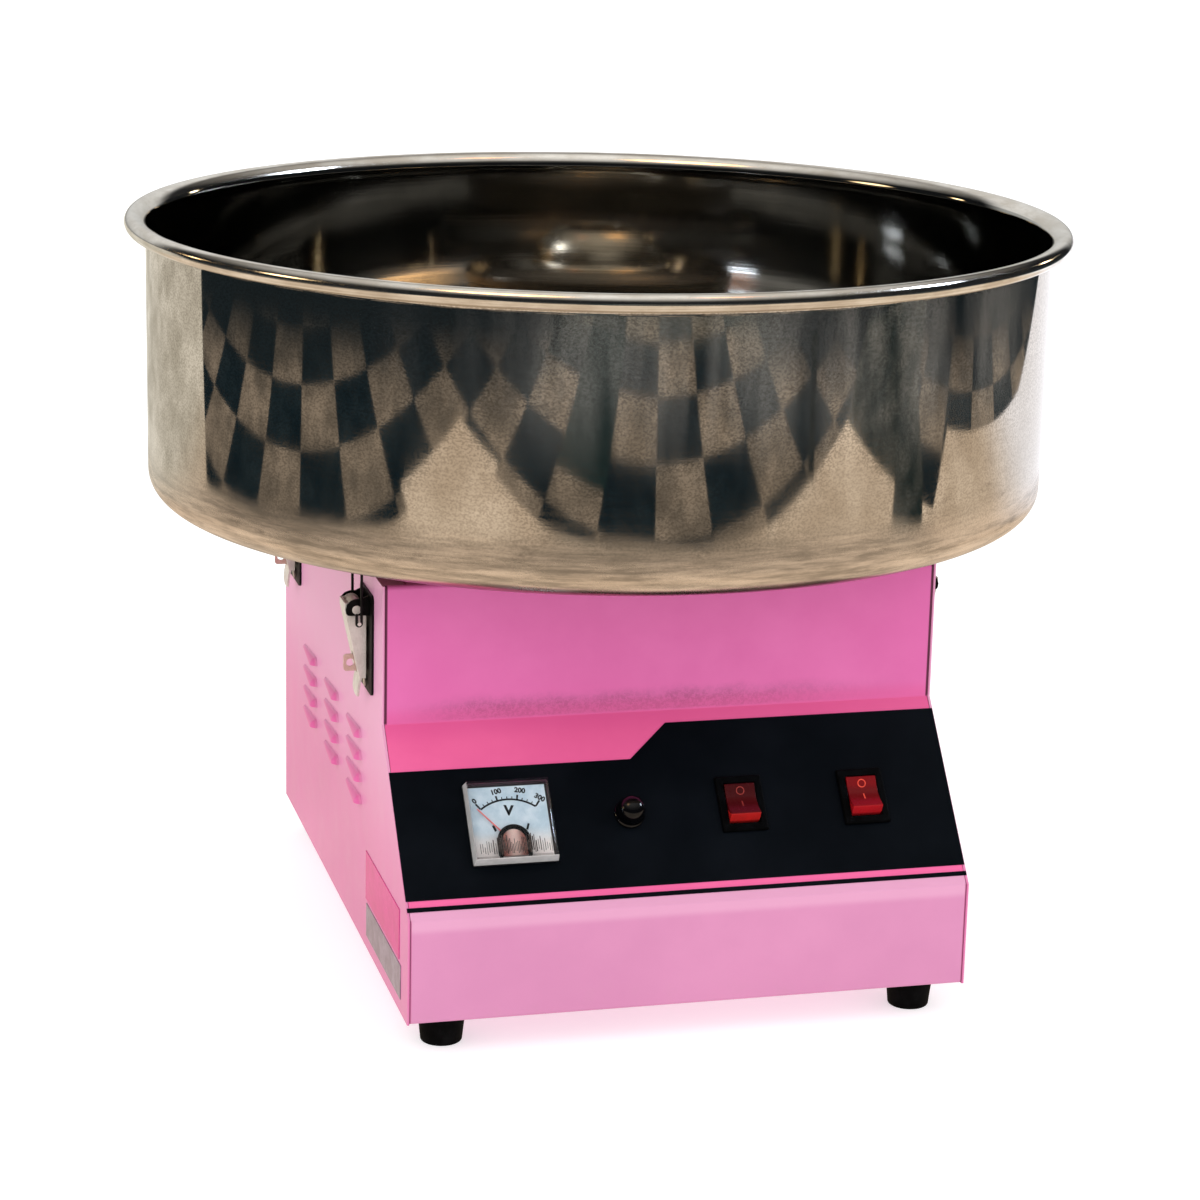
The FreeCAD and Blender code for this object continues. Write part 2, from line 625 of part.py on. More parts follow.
def latch_base():
    hw = num(d.latch_w) / 2
    plate = Part.makeBox(1.2, 2 * hw, num(d.latch_z1) - num(d.latch_z0), V(-WN - 1.2, -hw, num(d.latch_z0)))
    plate = plate.makeFillet(3.0, [e for e in plate.Edges if e.BoundBox.XLength > 1 and e.BoundBox.YLength < 0.1
                                   and e.BoundBox.ZLength < 0.1])
    out = plate
    # two ears outside the lever carry its pivot
    for sy in (-1, 1):
        y0 = 8.2 if sy > 0 else -9.4
        ear = extr([(-WN - 0.9, A_Z - 3.4), (-WN - 0.9, A_Z + 7.6), (A_X + 2.6, A_Z + 5.6), (A_X - 0.4, A_Z + 5.6),
                    (A_X - 3.0, A_Z + 4.7), (A_X - 4.9, A_Z + 2.7), (A_X - 5.6, A_Z + 0.2), (A_X - 5.4, A_Z - 2.0),
                    (A_X - 4.6, A_Z - 3.0), (A_X - 2.6, A_Z - 3.3), (A_X + 1.6, A_Z - 3.3)], y0, y0 + 1.2)
        out = out.fuse(ear)
    # padlock staple that passes through the lever's slot
    st = extr([(-WN - 0.9, 174.0), (-WN - 0.9, 183.0), (-WN - 12.0, 183.0), (-WN - 13.0, 182.0),
               (-WN - 13.0, 175.0), (-WN - 12.0, 174.0)], -0.8, 0.8)
    st = st.cut(Part.makeCylinder(2.2, 4, V(-WN - 9.4, -2, 178.5), V(0, 1, 0)))
    out = out.fuse(st)
    for sy in (-1, 1):
        out = out.cut(Part.makeCylinder(PR + 0.03, 4, V(A_X, sy * 8.8 - 2, A_Z), V(0, 1, 0)))
    for rz in (168.5, 194.0):
        out = out.cut(Part.makeCylinder(1.8, 6, V(-WN - 3, 0, rz), V(1, 0, 0)))
    return out.removeSplitter()


def latch_lever():
    """Channel whose cheeks taper from the pivot to a flared thumb tab."""
    out = None
    for sy in (-1, 1):
        y0 = 6.4 if sy > 0 else -7.6
        ch = extr([(-163.7, 212.6), (-163.7, 209.0), (-155.6, 171.6), (-152.4, 171.6), (-152.4, 205.0),
                   (A_X + 2.8, A_Z + 3.4)], y0, y0 + 1.2)
        ch = ch.fuse(Part.makeCylinder(4.6, 1.2, V(A_X, y0, A_Z), V(0, 1, 0)))
        out = ch if out is None else out.fuse(ch)
        # rivet that the bail's eye turns on
        s0 = 7.4 * sy
        out = out.fuse(Part.makeCylinder(0.48, B_Y + WR + 0.3 - 7.4, V(B_X, s0, B_Z), V(0, sy, 0)))
        out = out.fuse(Part.makeCylinder(1.0, 0.6, V(B_X, (B_Y + WR + 0.2) * sy, B_Z), V(0, sy, 0)))
    web = extr([(-162.5, 212.6), (-163.7, 212.6), (-163.7, 209.0), (-155.6, 171.6), (-154.4, 171.6), (-162.5, 209.0)],
               -7.6, 7.6)
    tab = extr([(-154.3, 172.2), (-155.5, 172.2), (-156.3, 168.6), (-156.8, 164.2), (-156.5, 160.5), (-155.3, 160.5),
                (-155.6, 164.0), (-155.1, 168.0)], -7.6, 7.6)
    q = [V(0, -7.6, 172.4), V(0, 7.6, 172.4), V(0, 6.8, 163.6), V(0, 4.8, 161.0), V(0, 2.0, 160.5), V(0, -2.0, 160.5),
         V(0, -4.8, 161.0), V(0, -6.8, 163.6)]
    mask = Part.Face(Part.makePolygon(q + [q[0]])).extrude(V(-20, 0, 0))
    mask.translate(V(-148, 0, 0))
    web = web.fuse(tab.common(mask))
    # slot that swings past the staple
    web = web.cut(Part.makeBox(16, 3.6, 11.6, V(-168, -1.8, 173.0)))
    out = out.fuse(web)
    for sy in (-1, 1):
        out = out.cut(Part.makeCylinder(PR + 0.05, 4, V(A_X, sy * 7.0 - 2, A_Z), V(0, 1, 0)))
    return out.removeSplitter()


def latch_bail():
    """Wire bail: a bar over the catch, two upright legs and an open eye at the foot of each."""
    rb = 2.4                                        # bend radius of the wire
    out = None
    for sy in (-1, 1):
        y = B_Y * sy
        leg = Part.makeCylinder(WR, K_Z - rb - B_Z, V(K_X, y, B_Z), V(0, 0, 1))
        eye = Part.makeTorus(EYE, WR, V(B_X, y, B_Z), V(0, 1, 0))
        eye = eye.common(Part.makeBox(8, 4, 6, V(B_X - 4, y - 2, B_Z - 6)))
        back = Part.makeCylinder(WR, 4.6, V(B_X - EYE, y, B_Z), V(0, 0, 1))
        tip = Part.makeSphere(WR, V(B_X - EYE, y, B_Z + 4.6))
        c = V(K_X, y - rb * sy, K_Z - rb)
        p0, p1 = V(K_X, y, K_Z - rb), V(K_X, y - rb * sy, K_Z)
        pm = c + V(0, sy * rb * math.cos(math.pi / 4), rb * math.sin(math.pi / 4))
        arc = Part.Arc(p0, pm, p1).toShape()
        ring = Part.Wire([Part.makeCircle(WR, p0, V(0, 0, 1))])
        bend = Part.Wire([arc]).makePipeShell([ring], True, False)
        w = leg.fuse([eye, back, tip, bend])
        out = w if out is None else out.fuse(w)
    bar = Part.makeCylinder(WR, 2 * (B_Y - rb), V(K_X, -(B_Y - rb), K_Z), V(0, 1, 0))
    return out.fuse(bar).removeSplitter()


def latch_pin():
    p = Part.makeCylinder(PR, 19.0, V(A_X, -9.5, A_Z), V(0, 1, 0))
    for sy in (-1, 1):
        p = p.fuse(Part.makeCylinder(2.4, 0.6, V(A_X, 9.5 * sy, A_Z), V(0, sy, 0)))
    return p


def latch_roller():
    r = Part.makeCylinder(4.1, 12.2, V(A_X, -6.1, A_Z), V(0, 1, 0))
    return r.cut(Part.makeCylinder(PR + 0.05, 14, V(A_X, -7, A_Z), V(0, 1, 0)))


def latch_catch():
    """Bent strip under the bowl; the bail's bar lies over its tongue."""
    bz = num(d.bowl_z)
    zt = K_Z - WR - 0.4
    out = extr([(-138.0, bz), (-152.4, bz), (-152.4, zt), (-158.4, zt), (-158.4, zt - 1.2), (-151.2, zt - 1.2),
                (-151.2, bz - 1.2), (-138.0, bz - 1.2)], -7.5, 7.5)
    return out


def rivet(z):
    x = -WN - 1.2
    sh = Part.makeCylinder(1.6, 4.2, V(x, 0, z), V(1, 0, 0))
    hd = Part.makeCylinder(3.2, 0.9, V(x - 0.9, 0, z), V(1, 0, 0))
    tail = Part.makeCylinder(2.5, 1.4, V(-WN + num(T), 0, z), V(1, 0, 0))
    return sh.fuse([hd, tail]).removeSplitter()


def quad(shape):
    """The four copies: front left, front right, rear left, rear right."""
    out = []
    for sy in (-1, 1):
        for sx in (-1, 1):
            c_ = shape.copy() if sx < 0 else shape.mirror(V(0, 0, 0), V(1, 0, 0))
            c_.translate(V(0, sy * num(d.latch_y), 0))
            out.append(c_)
    return out


LB, LL, BL = quad(latch_base()), quad(latch_lever()), quad(latch_bail())
node(feature("latch_bases", Part.makeCompound(LB)), "latch_base_plates")
riv = quad(rivet(168.5)) + quad(rivet(194.0))
node(feature("rivets", Part.makeCompound(riv)), "latch_rivets")
node(feature("pins", Part.makeCompound(quad(latch_pin()) + quad(latch_roller()))), "latch_pins_and_rollers")
for k, tag in enumerate(("front_left", "front_right", "rear_left", "rear_right")):
    node(feature("lever_%d" % k, LL[k]), "latch_lever_" + tag)
    node(feature("bail_%d" % k, BL[k]), "latch_bail_" + tag)
node(feature("catches", Part.makeCompound(quad(latch_catch()))), "bowl_catches")

# =========================================================================
# Instruments on the slanted panel, in the panel's own frame
# =========================================================================
F = d.film_t
# ---- voltmeter ----------------------------------------------------------
b = body("meter_case")
s = sketch(b, "XY_Plane", "meter_flange", F)
rect(s, -d.meter_w / 2, -d.meter_w / 2, d.meter_w, d.meter_w)
pad(b, s, 1.8, "meter_flange_pad")
s = sketch(b, "XY_Plane", "meter_drum", F)
circ(s, 0, 0, 19.0)
pad(b, s, 27.0, "meter_drum_pad", True)
s = sketch(b, "XY_Plane", "meter_tray", F + 1.8)
rect(s, -20.4, -20.4, 40.8, 40.8)
pocket(b, s, 1.0, "meter_tray_cut")
s = sketch(b, "XY_Plane", "meter_studs", -26.6)
circ(s, -8, 0, 2.0)
circ(s, 8, 0, 2.0)
pad(b, s, 9.0, "meter_stud_pad", True)
b.Placement = slant(d.meter_x, d.meter_up)
if b.Shape.BoundBox.XLength > num(d.meter_w) + 0.01:
    raise RuntimeError("meter case too wide")
node(b, "voltmeter_case")
dial = box("meter_dial", -20.2, -20.2, F + 0.8, 40.4, 40.4, 0.8)


def wedge(name, w0, w1, z0, z1):
    o_ = doc.addObject("Part::Wedge", name)
    o_.Xmin, o_.Xmax, o_.Zmin, o_.Zmax = -w0 / 2, w0 / 2, -w0 / 2, w0 / 2
    o_.X2min, o_.X2max, o_.Z2min, o_.Z2max = -w1 / 2, w1 / 2, -w1 / 2, w1 / 2
    o_.Ymin, o_.Ymax = 0, z1 - z0
    o_.Placement = Pl(V(0, 0, z0), Rot(V(1, 0, 0), 90))
    return o_


mw = num(d.meter_w)
z0 = num(F) + 1.8
wo = wedge("lens_outer", mw, mw - 2.6, z0, z0 + 6.6)
wi = wedge("lens_inner", mw - 3.0, mw - 5.4, z0 - 0.5, z0 + 5.2)
lens = cut("lens", wo, wi)
lens.Placement = slant(d.meter_x, d.meter_up)
node(lens, "voltmeter_lens")

PIV = -11.7                     # needle pivot below the meter's centre
zd = num(F) + 1.6               # dial face
cov = Part.makeCylinder(9.2, 0.8, V(0, PIV, zd + 3.3))
cov = cov.cut(Part.makeBox(30, 20, 4, V(-15, PIV - 22.5, zd + 2)))
for sx in (-1, 1):
    cov = cov.fuse(Part.makeBox(1.4, 3.0, 3.8, V(sx * 7.6 - 0.7, PIV - 2.5, zd + 0.1)))
c = doc.addObject("Part::Compound", "dial_set")
c.Links = [dial, feature("coil_cover", cov.removeSplitter())]
c.Placement = slant(d.meter_x, d.meter_up)
node(c, "voltmeter_dial")

ang = math.radians(40.0)
nd = Part.Face(Part.makePolygon([V(-0.45, -4.0, 0), V(0.45, -4.0, 0), V(0.28, 26.0, 0), V(-0.28, 26.0, 0),
                                 V(-0.45, -4.0, 0)])).extrude(V(0, 0, 0.3))
nd = nd.fuse(Part.makeCylinder(1.5, 1.4, V(0, 0, -0.6))).removeSplitter()
nd.rotate(V(0, 0, 0), V(0, 0, 1), 40.0)
nd.translate(V(0, PIV, zd + 1.5))
o = feature("needle", nd)
o.Placement = slant(d.meter_x, d.meter_up).multiply(nd.Placement)
node(o, "voltmeter_needle")

# ---- rocker switches ----------------------------------------------------
P_N = -1.5                       # rocker pivot below the panel surface
SWING = 11.0                     # degrees either side of level


def switch(tag, cx):
    bz = num(F)
    b_ = body("switch_" + tag)
    s_ = sketch(b_, "XY_Plane", "bezel_" + tag, F)
    rect(s_, -d.sw_w / 2, -d.sw_h / 2, d.sw_w, d.sw_h)
    pad(b_, s_, 2.2, "bezel_pad_" + tag)
    top = [e for e in b_.Tip.Shape.Edges if abs(e.BoundBox.ZMin - (bz + 2.2)) < 1e-3]
    names = ["Edge%d" % (i + 1) for i, e in enumerate(b_.Tip.Shape.Edges)
             if abs(e.BoundBox.ZMin - (bz + 2.2)) < 1e-3 or
             (e.BoundBox.ZLength > 1 and e.BoundBox.XLength < 1e-3 and e.BoundBox.YLength < 1e-3)]
    fillet(b_, names, 0.9, "bezel_round_" + tag)
    s_ = sketch(b_, "XY_Plane", "barrel_" + tag, F)
    rect(s_, -10.8, -13.7, 21.6, 27.4)
    pad(b_, s_, 25.0, "barrel_pad_" + tag, True)
    s_ = sketch(b_, "XY_Plane", "well_" + tag, F + 2.2)
    rect(s_, -8.5, -11.3, 17.0, 22.6)
    pocket(b_, s_, 14.0, "well_cut_" + tag)
    s_ = sketch(b_, "YZ_Plane", "pivot_" + tag, -9.8)
    circ(s_, 0, P_N, 1.45)
    f_ = b_.newObject("PartDesign::Pocket", "pivot_cut_" + tag)
    f_.Profile = s_
    f_.Length = 19.6
    before = b_.Shape.Volume
    f_.Reversed = True
    b_.Tip = f_
    doc.recompute()
    if not f_.Shape.Volume < before - 1:
        f_.Reversed = False
        doc.recompute()
    s_ = sketch(b_, "XY_Plane", "blades_" + tag, -24.6)
    for bx in (-6.0, 6.0):
        for by in (-8.0, 1.0):
            rect(s_, bx - 0.4, by, 0.8, 6.3)
    pad(b_, s_, 9.0, "blade_pad_" + tag, True)
    b_.Placement = slant(cx, d.sw_up)
    node(b_, tag + "_switch_housing")
    # rocker: a shallow V seen from the side, with stub axles
    prof = [(-10.2, -3.0), (-10.4, 3.0), (-9.4, 7.2), (-4.6, 5.3), (0.0, 4.5), (4.6, 5.3), (9.4, 7.2), (10.4, 3.0),
            (10.2, -3.0), (3.0, -6.0), (-3.0, -6.0)]
    q = [V(-8.1, y_, z_) for y_, z_ in prof]
    rk = Part.Face(Part.makePolygon(q + [q[0]])).extrude(V(16.2, 0, 0))
    es = [e for e in rk.Edges if e.BoundBox.XLength > 1 and e.BoundBox.ZMin > 7.0]
    rk = rk.makeFillet(0.7, es)
    rk = rk.fuse(Part.makeCylinder(1.4, 18.4, V(-9.2, 0, 0), V(1, 0, 0))).removeSplitter()
    rk.rotate(V(0, 0, 0), V(1, 0, 0), -SWING)
    rk.translate(V(0, 0, P_N))
    o_ = feature("rocker_shape_" + tag, rk)
    o_.Placement = slant(cx, d.sw_up).multiply(rk.Placement)
    node(o_, tag + "_rocker")


switch("heater", d.sw_left)
switch("power", d.sw_right)

# ---- heat control: potentiometer, shaft and knob ------------------------
p1 = cyl("pot_can", 0, 0, -13.0, 12.0, 10.0)
p2 = cyl("pot_boss", 0, 0, -3.0, 6.0, 1.8)
p3 = cyl("pot_bush", 0, 0, -1.2, 3.5, 4.6)
p4 = box("pot_tags", -9.0, -17.0, -10.0, 18.0, 6.0, 1.0)
pf = fuse("pot_solid", [p1, p2, p3, p4])
ph = cyl("pot_bore", 0, 0, -9.0, d.run_fit + 3.0, 20.0)
pot = cut("pot", pf, ph)
nx = prism("pot_nut_hex", 0, 0, F, 5.8, 2.0)
nh = cyl("pot_nut_bore", 0, 0, 0, 3.52, 5.0)
nut = cut("pot_nut", nx, nh)
c = doc.addObject("Part::Compound", "pot_set")
c.Links = [pot, nut]
c.Placement = slant(d.knob_x, d.knob_up)
node(c, "potentiometer_body")
o = cyl("pot_shaft", 0, 0, -8.0, 3.0, 19.0)
o.Placement = slant(d.knob_x, d.knob_up, -8.0)
node(o, "potentiometer_shaft")
b = body("knob")
s = sketch(b, "XZ_Plane", "knob_section")
# thimble: skirt, drafted grip and a slightly sunk cap, hollow over the nut
z0 = F + 0.8
poly(s, [(6.9, z0), (d.knob_rad, z0), (d.knob_rad, z0 + 1.6), (d.knob_rad - 0.9, z0 + 2.2),
         (d.knob_rad - 1.3, z0 + d.knob_h), (0, z0 + d.knob_h), (0, z0 + 10.2), (3.03, z0 + 10.2), (3.03, z0 + 2.4),
         (6.9, z0 + 2.4)])
revolve(b, s, "knob_turned")
fillet(b, ring_edges(b.Tip.Shape, num(d.knob_rad) - 1.3, num(z0) + num(d.knob_h)), 1.1, "knob_round")
b.Placement = slant(d.knob_x, d.knob_up)
node(b, "heat_knob")

# =========================================================================
# Bowl
# =========================================================================
b = body("bowl")
s = sketch(b, "XZ_Plane", "bowl_section")
BR = d.bowl_wall
BT = d.bowl_t
BX = d.rim_rad - d.bead_rad          # centre of the rolled bead
BZ = d.rim_z - d.bead_rad
CR = d.bowl_hole
RZ = d.rim_z - 0.5                   # top of the sheet, just inside the bead
poly(s, [(CR, d.collar_z), (CR, d.bowl_z), (BR, d.bowl_z), (BR, BZ - 5.2), (BX, BZ), (BX, RZ),
         (BR - BT, RZ), (BR - BT, d.bowl_z + BT), (CR + BT, d.bowl_z + BT), (CR + BT, d.collar_z)])
revolve(b, s, "bowl_spun")
fillet(b, ring_edges(b.Tip.Shape, BR, d.bowl_z), d.bowl_corner, "bowl_corner_out")
fillet(b, ring_edges(b.Tip.Shape, BR - BT, d.bowl_z + BT), d.bowl_corner - BT, "bowl_corner_in")
fillet(b, ring_edges(b.Tip.Shape, BR - BT, RZ), BX - BR + BT - 0.05, "bowl_rim_roll")
s = sketch(b, "XZ_Plane", "bead_section")
circ(s, BX, BZ, d.bead_rad)
revolve(b, s, "bead_roll")
s = sketch(b, "XZ_Plane", "collar_bead")
circ(s, CR + 0.9, d.collar_z, 1.6)
revolve(b, s, "collar_roll")
node(b, "bowl")

# =========================================================================
# Motor (fixed parts)
# =========================================================================
R_S, C0, CL = d.stator_rad, d.core_z, d.core_len
b = body("stator")
s = sketch(b, "XY_Plane", "stator_ring", C0)
circ(s, 0, 0, R_S)
circ(s, 0, 0, d.rotor_rad + d.air_gap)
pad(b, s, CL, "stator_stack")
node(b, "stator_core")
wr = []
for k, zz in enumerate((C0 - 12.0, C0 + CL)):
    w1 = cyl("winding_out_%d" % k, 0, 0, zz, 56.0, 12.0)
    w2 = cyl("winding_in_%d" % k, 0, 0, zz - 1, 41.0, 14.0)
    wr.append(cut("winding_%d" % k, w1, w2))
c = doc.addObject("Part::Compound", "windings")
c.Links = wr
node(c, "stator_windings")


def bell(tag, sgn, zc):
    """End bell, wall towards the stator; zc is the outer face, sgn +1 for the upper bell."""
    b_ = body("bell_" + tag)
    s_ = sketch(b_, "XZ_Plane", "bell_section_" + tag)
    g = lambda k: zc - k if sgn > 0 else zc + k
    poly(s_, [(7.5, g(0)), (63.0, g(0)), (63.0, g(36.0)), (R_S + 0.1, g(36.0)), (R_S + 0.1, g(3.0)),
              (15.5, g(3.0)), (15.5, g(11.0)), (11.05, g(11.0)), (11.05, g(2.5)), (7.5, g(2.5))])
    revolve(b_, s_, "bell_turned_" + tag)
    s_ = sketch(b_, "XZ_Plane", "bell_vents_" + tag, -80.0)
    zl = zc - 30.0 if sgn > 0 else zc + 12.0
    rect(s_, -9.0, zl, 18.0, 16.0)
    f_ = pocket(b_, s_, 160.0, "bell_vent_cut_" + tag)
    polar(b_, f_, 5, "bell_vent_ring_" + tag)
    return b_


U0, L0 = C0 + CL + 25.0, C0 - 25.0
c = doc.addObject("Part::Compound", "bells")
c.Links = [bell("upper", 1, U0), bell("lower", -1, L0)]
node(c, "motor_end_bells")
br = []
for k, zz in enumerate((U0 - 10.5, L0 + 2.5)):
    w1 = cyl("race_out_%d" % k, 0, 0, zz, 11.0, 8.0)
    w2 = cyl("race_in_%d" % k, 0, 0, zz - 1, d.shaft_rad + d.run_fit, 10.0)
    br.append(cut("bearing_%d" % k, w1, w2))
c = doc.addObject("Part::Compound", "bearings")
c.Links = br
node(c, "motor_bearings")

b = body("mount_plate")
s = sketch(b, "XY_Plane", "mount_outline", U0)
rect(s, -68.0, -68.0, 136.0, 136.0)
pad(b, s, 3.0, "mount_sheet")
s = sketch(b, "XY_Plane", "mount_holes", U0 - 1)
circ(s, 0, 0, 16.0)
for sx in (-1, 1):
    for sy in (-1, 1):
        circ(s, 52.0 * sx, 52.0 * sy, 3.2)
pocket(b, s, 5.0, "mount_hole_cut")
node(b, "motor_mount_plate")
dm = []
for sx in (-1, 1):
    for sy in (-1, 1):
        k = "%d%d" % (sx + 1, sy + 1)
        m1 = cyl("damper_" + k, 52.0 * sx, 52.0 * sy, U0 + 3.0, 9.0, DZ - U0 - 3.0)
        m2 = cyl("damper_stud_" + k, 52.0 * sx, 52.0 * sy, U0 - 7.0, 2.9, DZ - U0 + 14.0)
        dm.append(fuse("damper_set_" + k, [m1, m2]))
c = doc.addObject("Part::Compound", "dampers")
c.Links = dm
node(c, "motor_dampers")

# =========================================================================
# Spinning group
# =========================================================================
b = body("rotor_shaft")
s = sketch(b, "XZ_Plane", "shaft_section")
poly(s, [(0, 78.0), (d.shaft_rad - 0.8, 78.0), (d.shaft_rad, 78.8), (d.shaft_rad, d.head_z + 2.6), (4.0, d.head_z + 2.6),
         (4.0, d.head_z + 13.0), (3.2, d.head_z + 13.8), (0, d.head_z + 13.8)])
revolve(b, s, "shaft_turned")
node(b, "rotor_shaft")
b = body("rotor")
s = sketch(b, "XY_Plane", "rotor_section", C0)
circ(s, 0, 0, d.rotor_rad)
circ(s, 0, 0, d.shaft_rad + 0.02)
pad(b, s, CL, "rotor_stack")
node(b, "rotor_core")

b = body("fan")
s = sketch(b, "XY_Plane", "fan_hub", 80.0)
circ(s, 0, 0, 12.0)
circ(s, 0, 0, d.shaft_rad + 0.02)
pad(b, s, 12.0, "fan_hub_pad")
s = sketch(b, "XY_Plane", "fan_disc", 80.0)
circ(s, 0, 0, 56.0)
circ(s, 0, 0, 11.0)
pad(b, s, 1.6, "fan_disc_pad")
s = sketch(b, "XY_Plane", "fan_blade", 80.0)
poly(s, [(20.0, -0.9), (55.0, 6.0), (54.6, 7.8), (20.0, 0.9)])
f = pad(b, s, 14.0, "fan_blade_pad")
polar(b, f, 8, "fan_blades")
node(b, "cooling_fan")

# slip rings
b = body("ring_hub")
s = sketch(b, "XZ_Plane", "hub_section")
HZ = d.deck_z + 2.0
poly(s, [(d.shaft_rad + 0.02, HZ), (24.0, HZ), (24.0, HZ + 17.0), (14.0, HZ + 17.0), (14.0, HZ + 21.0),
         (d.shaft_rad + 0.02, HZ + 21.0)])
revolve(b, s, "hub_turned")
node(b, "slip_ring_hub")
sr = []
for k, zz in enumerate((HZ + 2.0, HZ + 9.5)):
    w1 = cyl("ring_out_%d" % k, 0, 0, zz, 27.0, 5.0)
    w2 = cyl("ring_in_%d" % k, 0, 0, zz - 1, 24.02, 7.0)
    sr.append(cut("ring_%d" % k, w1, w2))
c = doc.addObject("Part::Compound", "rings")
c.Links = sr
node(c, "slip_rings")

# brush gear on the deck
bh = box("brush_block", 34.0, -9.0, d.deck_z - T, 26.0, 18.0, 20.0)
tools = []
for k, zz in enumerate((HZ + 1.8, HZ + 9.3)):
    tools.append(box("brush_way_%d" % k, 33.0, -3.3, zz, 23.0, 6.6, 5.4))
tf = fuse("brush_ways", tools)
node(cut("brush_housing", bh, tf), "brush_holder")
bb = []
for k, zz in enumerate((HZ + 2.0, HZ + 9.5)):
    bb.append(box("brush_%d" % k, 27.45, -3.0, zz, 18.5, 6.0, 5.0))
c = doc.addObject("Part::Compound", "brushes")
c.Links = bb
node(c, "carbon_brushes")
sp = []
for zz in (num(HZ) + 3.0, num(HZ) + 10.5):
    pts = [(46.2, -2.8), (48.6, 2.4), (51.0, -2.4), (53.4, 2.4), (55.6, -2.8)]
    up_, dn_ = [], []
    for k, (x_, y_) in enumerate(pts):
        up_.append(V(x_ - 0.25 * (k != 0) if k == 0 else x_, y_ + 0.3, zz))
        dn_.append(V(x_, y_ - 0.3, zz))
    pl = up_ + dn_[::-1]
    sp.append(Part.Face(Part.makePolygon(pl + [pl[0]])).extrude(V(0, 0, 3.0)))
node(feature("leaf_springs", Part.makeCompound(sp)), "brush_springs")

# spinning head
b = body("pan")
s = sketch(b, "XZ_Plane", "pan_section")
HR, H0 = d.head_rad, d.head_z
poly(s, [(d.shaft_rad + 0.03, H0 - 5.0), (13.0, H0 - 5.0), (13.0, H0), (HR, H0), (HR, H0 + 6.0), (HR - 1.3, H0 + 6.0),
         (HR - 1.3, H0 + 2.6), (d.shaft_rad + 0.03, H0 + 2.6)])
revolve(b, s, "pan_turned")
node(b, "head_lower_pan")

b = body("band")
s = sketch(b, "XY_Plane", "band_section", H0 + 2.6)
circ(s, 0, 0, HR - 1.5)
circ(s, 0, 0, HR - 2.3)
pad(b, s, d.band_top - H0 - 2.6, "band_ring")
s = sketch(b, "YZ_Plane", "band_slot", 60.0)
poly(s, [(-0.7, 266.0), (0.7, 266.0), (0.7, 280.0), (-0.7, 280.0)])
f = b.newObject("PartDesign::Pocket", "band_slot_cut")
f.Profile = s
f.Length = 20.0
v0 = b.Shape.Volume
b.Tip = f
doc.recompute()
if not f.Shape.Volume < v0 - 1:
    f.Reversed = True
    doc.recompute()
polar(b, f, 48, "band_slots")
node(b, "perforated_band")

b = body("cover")
s = sketch(b, "XZ_Plane", "cover_section")
MR, MZ, TB = d.mouth_rad, d.mouth_z, d.band_top
poly(s, [(HR, TB - 4.0), (HR, TB + 1.2), (HR - 0.8, TB + 1.7), (40.4, TB + 3.4), (37.4, TB + 4.9), (35.6, TB + 7.8),
         (33.4, TB + 15.0), (30.4, TB + 20.6), (26.4, TB + 25.0), (22.4, TB + 27.7), (MR + 0.4, MZ), (MR - 0.8, MZ - 0.5),
         (MR - 0.8, MZ - 1.3), (21.8, TB + 26.4), (25.6, TB + 23.9), (29.4, TB + 19.8), (32.2, TB + 14.5),
         (34.4, TB + 7.3), (36.4, TB + 3.9), (40.0, TB + 2.1), (HR - 1.4, TB + 0.2), (HR - 1.4, TB - 4.0)])
revolve(b, s, "cover_spun")
node(b, "head_cover")

he = [torus("element_0", 0, 0, H0 + 9.0, 62.0, 3.0), torus("element_1", 0, 0, H0 + 17.0, 62.0, 3.0)]
c = doc.addObject("Part::Compound", "element")
c.Links = he
node(c, "heater_element")
n1 = prism("head_nut_hex", 0, 0, H0 + 2.6, 7.5, 6.5)
n2 = cyl("head_nut_bore", 0, 0, H0, 4.03, 14.0)
node(cut("head_nut_cut", n1, n2), "head_nut")

# =========================================================================
# Electrical parts on the bottom plate
# =========================================================================
PZ = d.foot_z + T * 2
cp1 = cyl("cap_can", -108.0, 84.0, PZ + 20.0, 17.5, 62.0, "x")
cp2 = cyl("cap_end", -46.0, 84.0, PZ + 20.0, 15.0, 3.0, "x")
cp3 = box("cap_tag_a", -43.0, 77.0, PZ + 17.0, 8.0, 0.8, 6.3)
cp4 = box("cap_tag_b", -43.0, 90.0, PZ + 17.0, 8.0, 0.8, 6.3)
node(fuse("capacitor", [cp1, cp2, cp3, cp4]), "run_capacitor")
k1 = cyl("clamp_out", -84.0, 84.0, PZ + 20.0, 18.8, 14.0, "x")
k2 = box("clamp_foot", -84.0, 54.0, PZ, 14.0, 60.0, 1.4)
k3 = box("clamp_neck", -84.0, 75.0, PZ, 14.0, 18.0, 8.0)
kf = fuse("clamp_solid", [k1, k2, k3])
k4 = cyl("clamp_in", -86.0, 84.0, PZ + 20.0, 17.6, 20.0, "x")
node(cut("clamp", kf, k4), "capacitor_clamp")

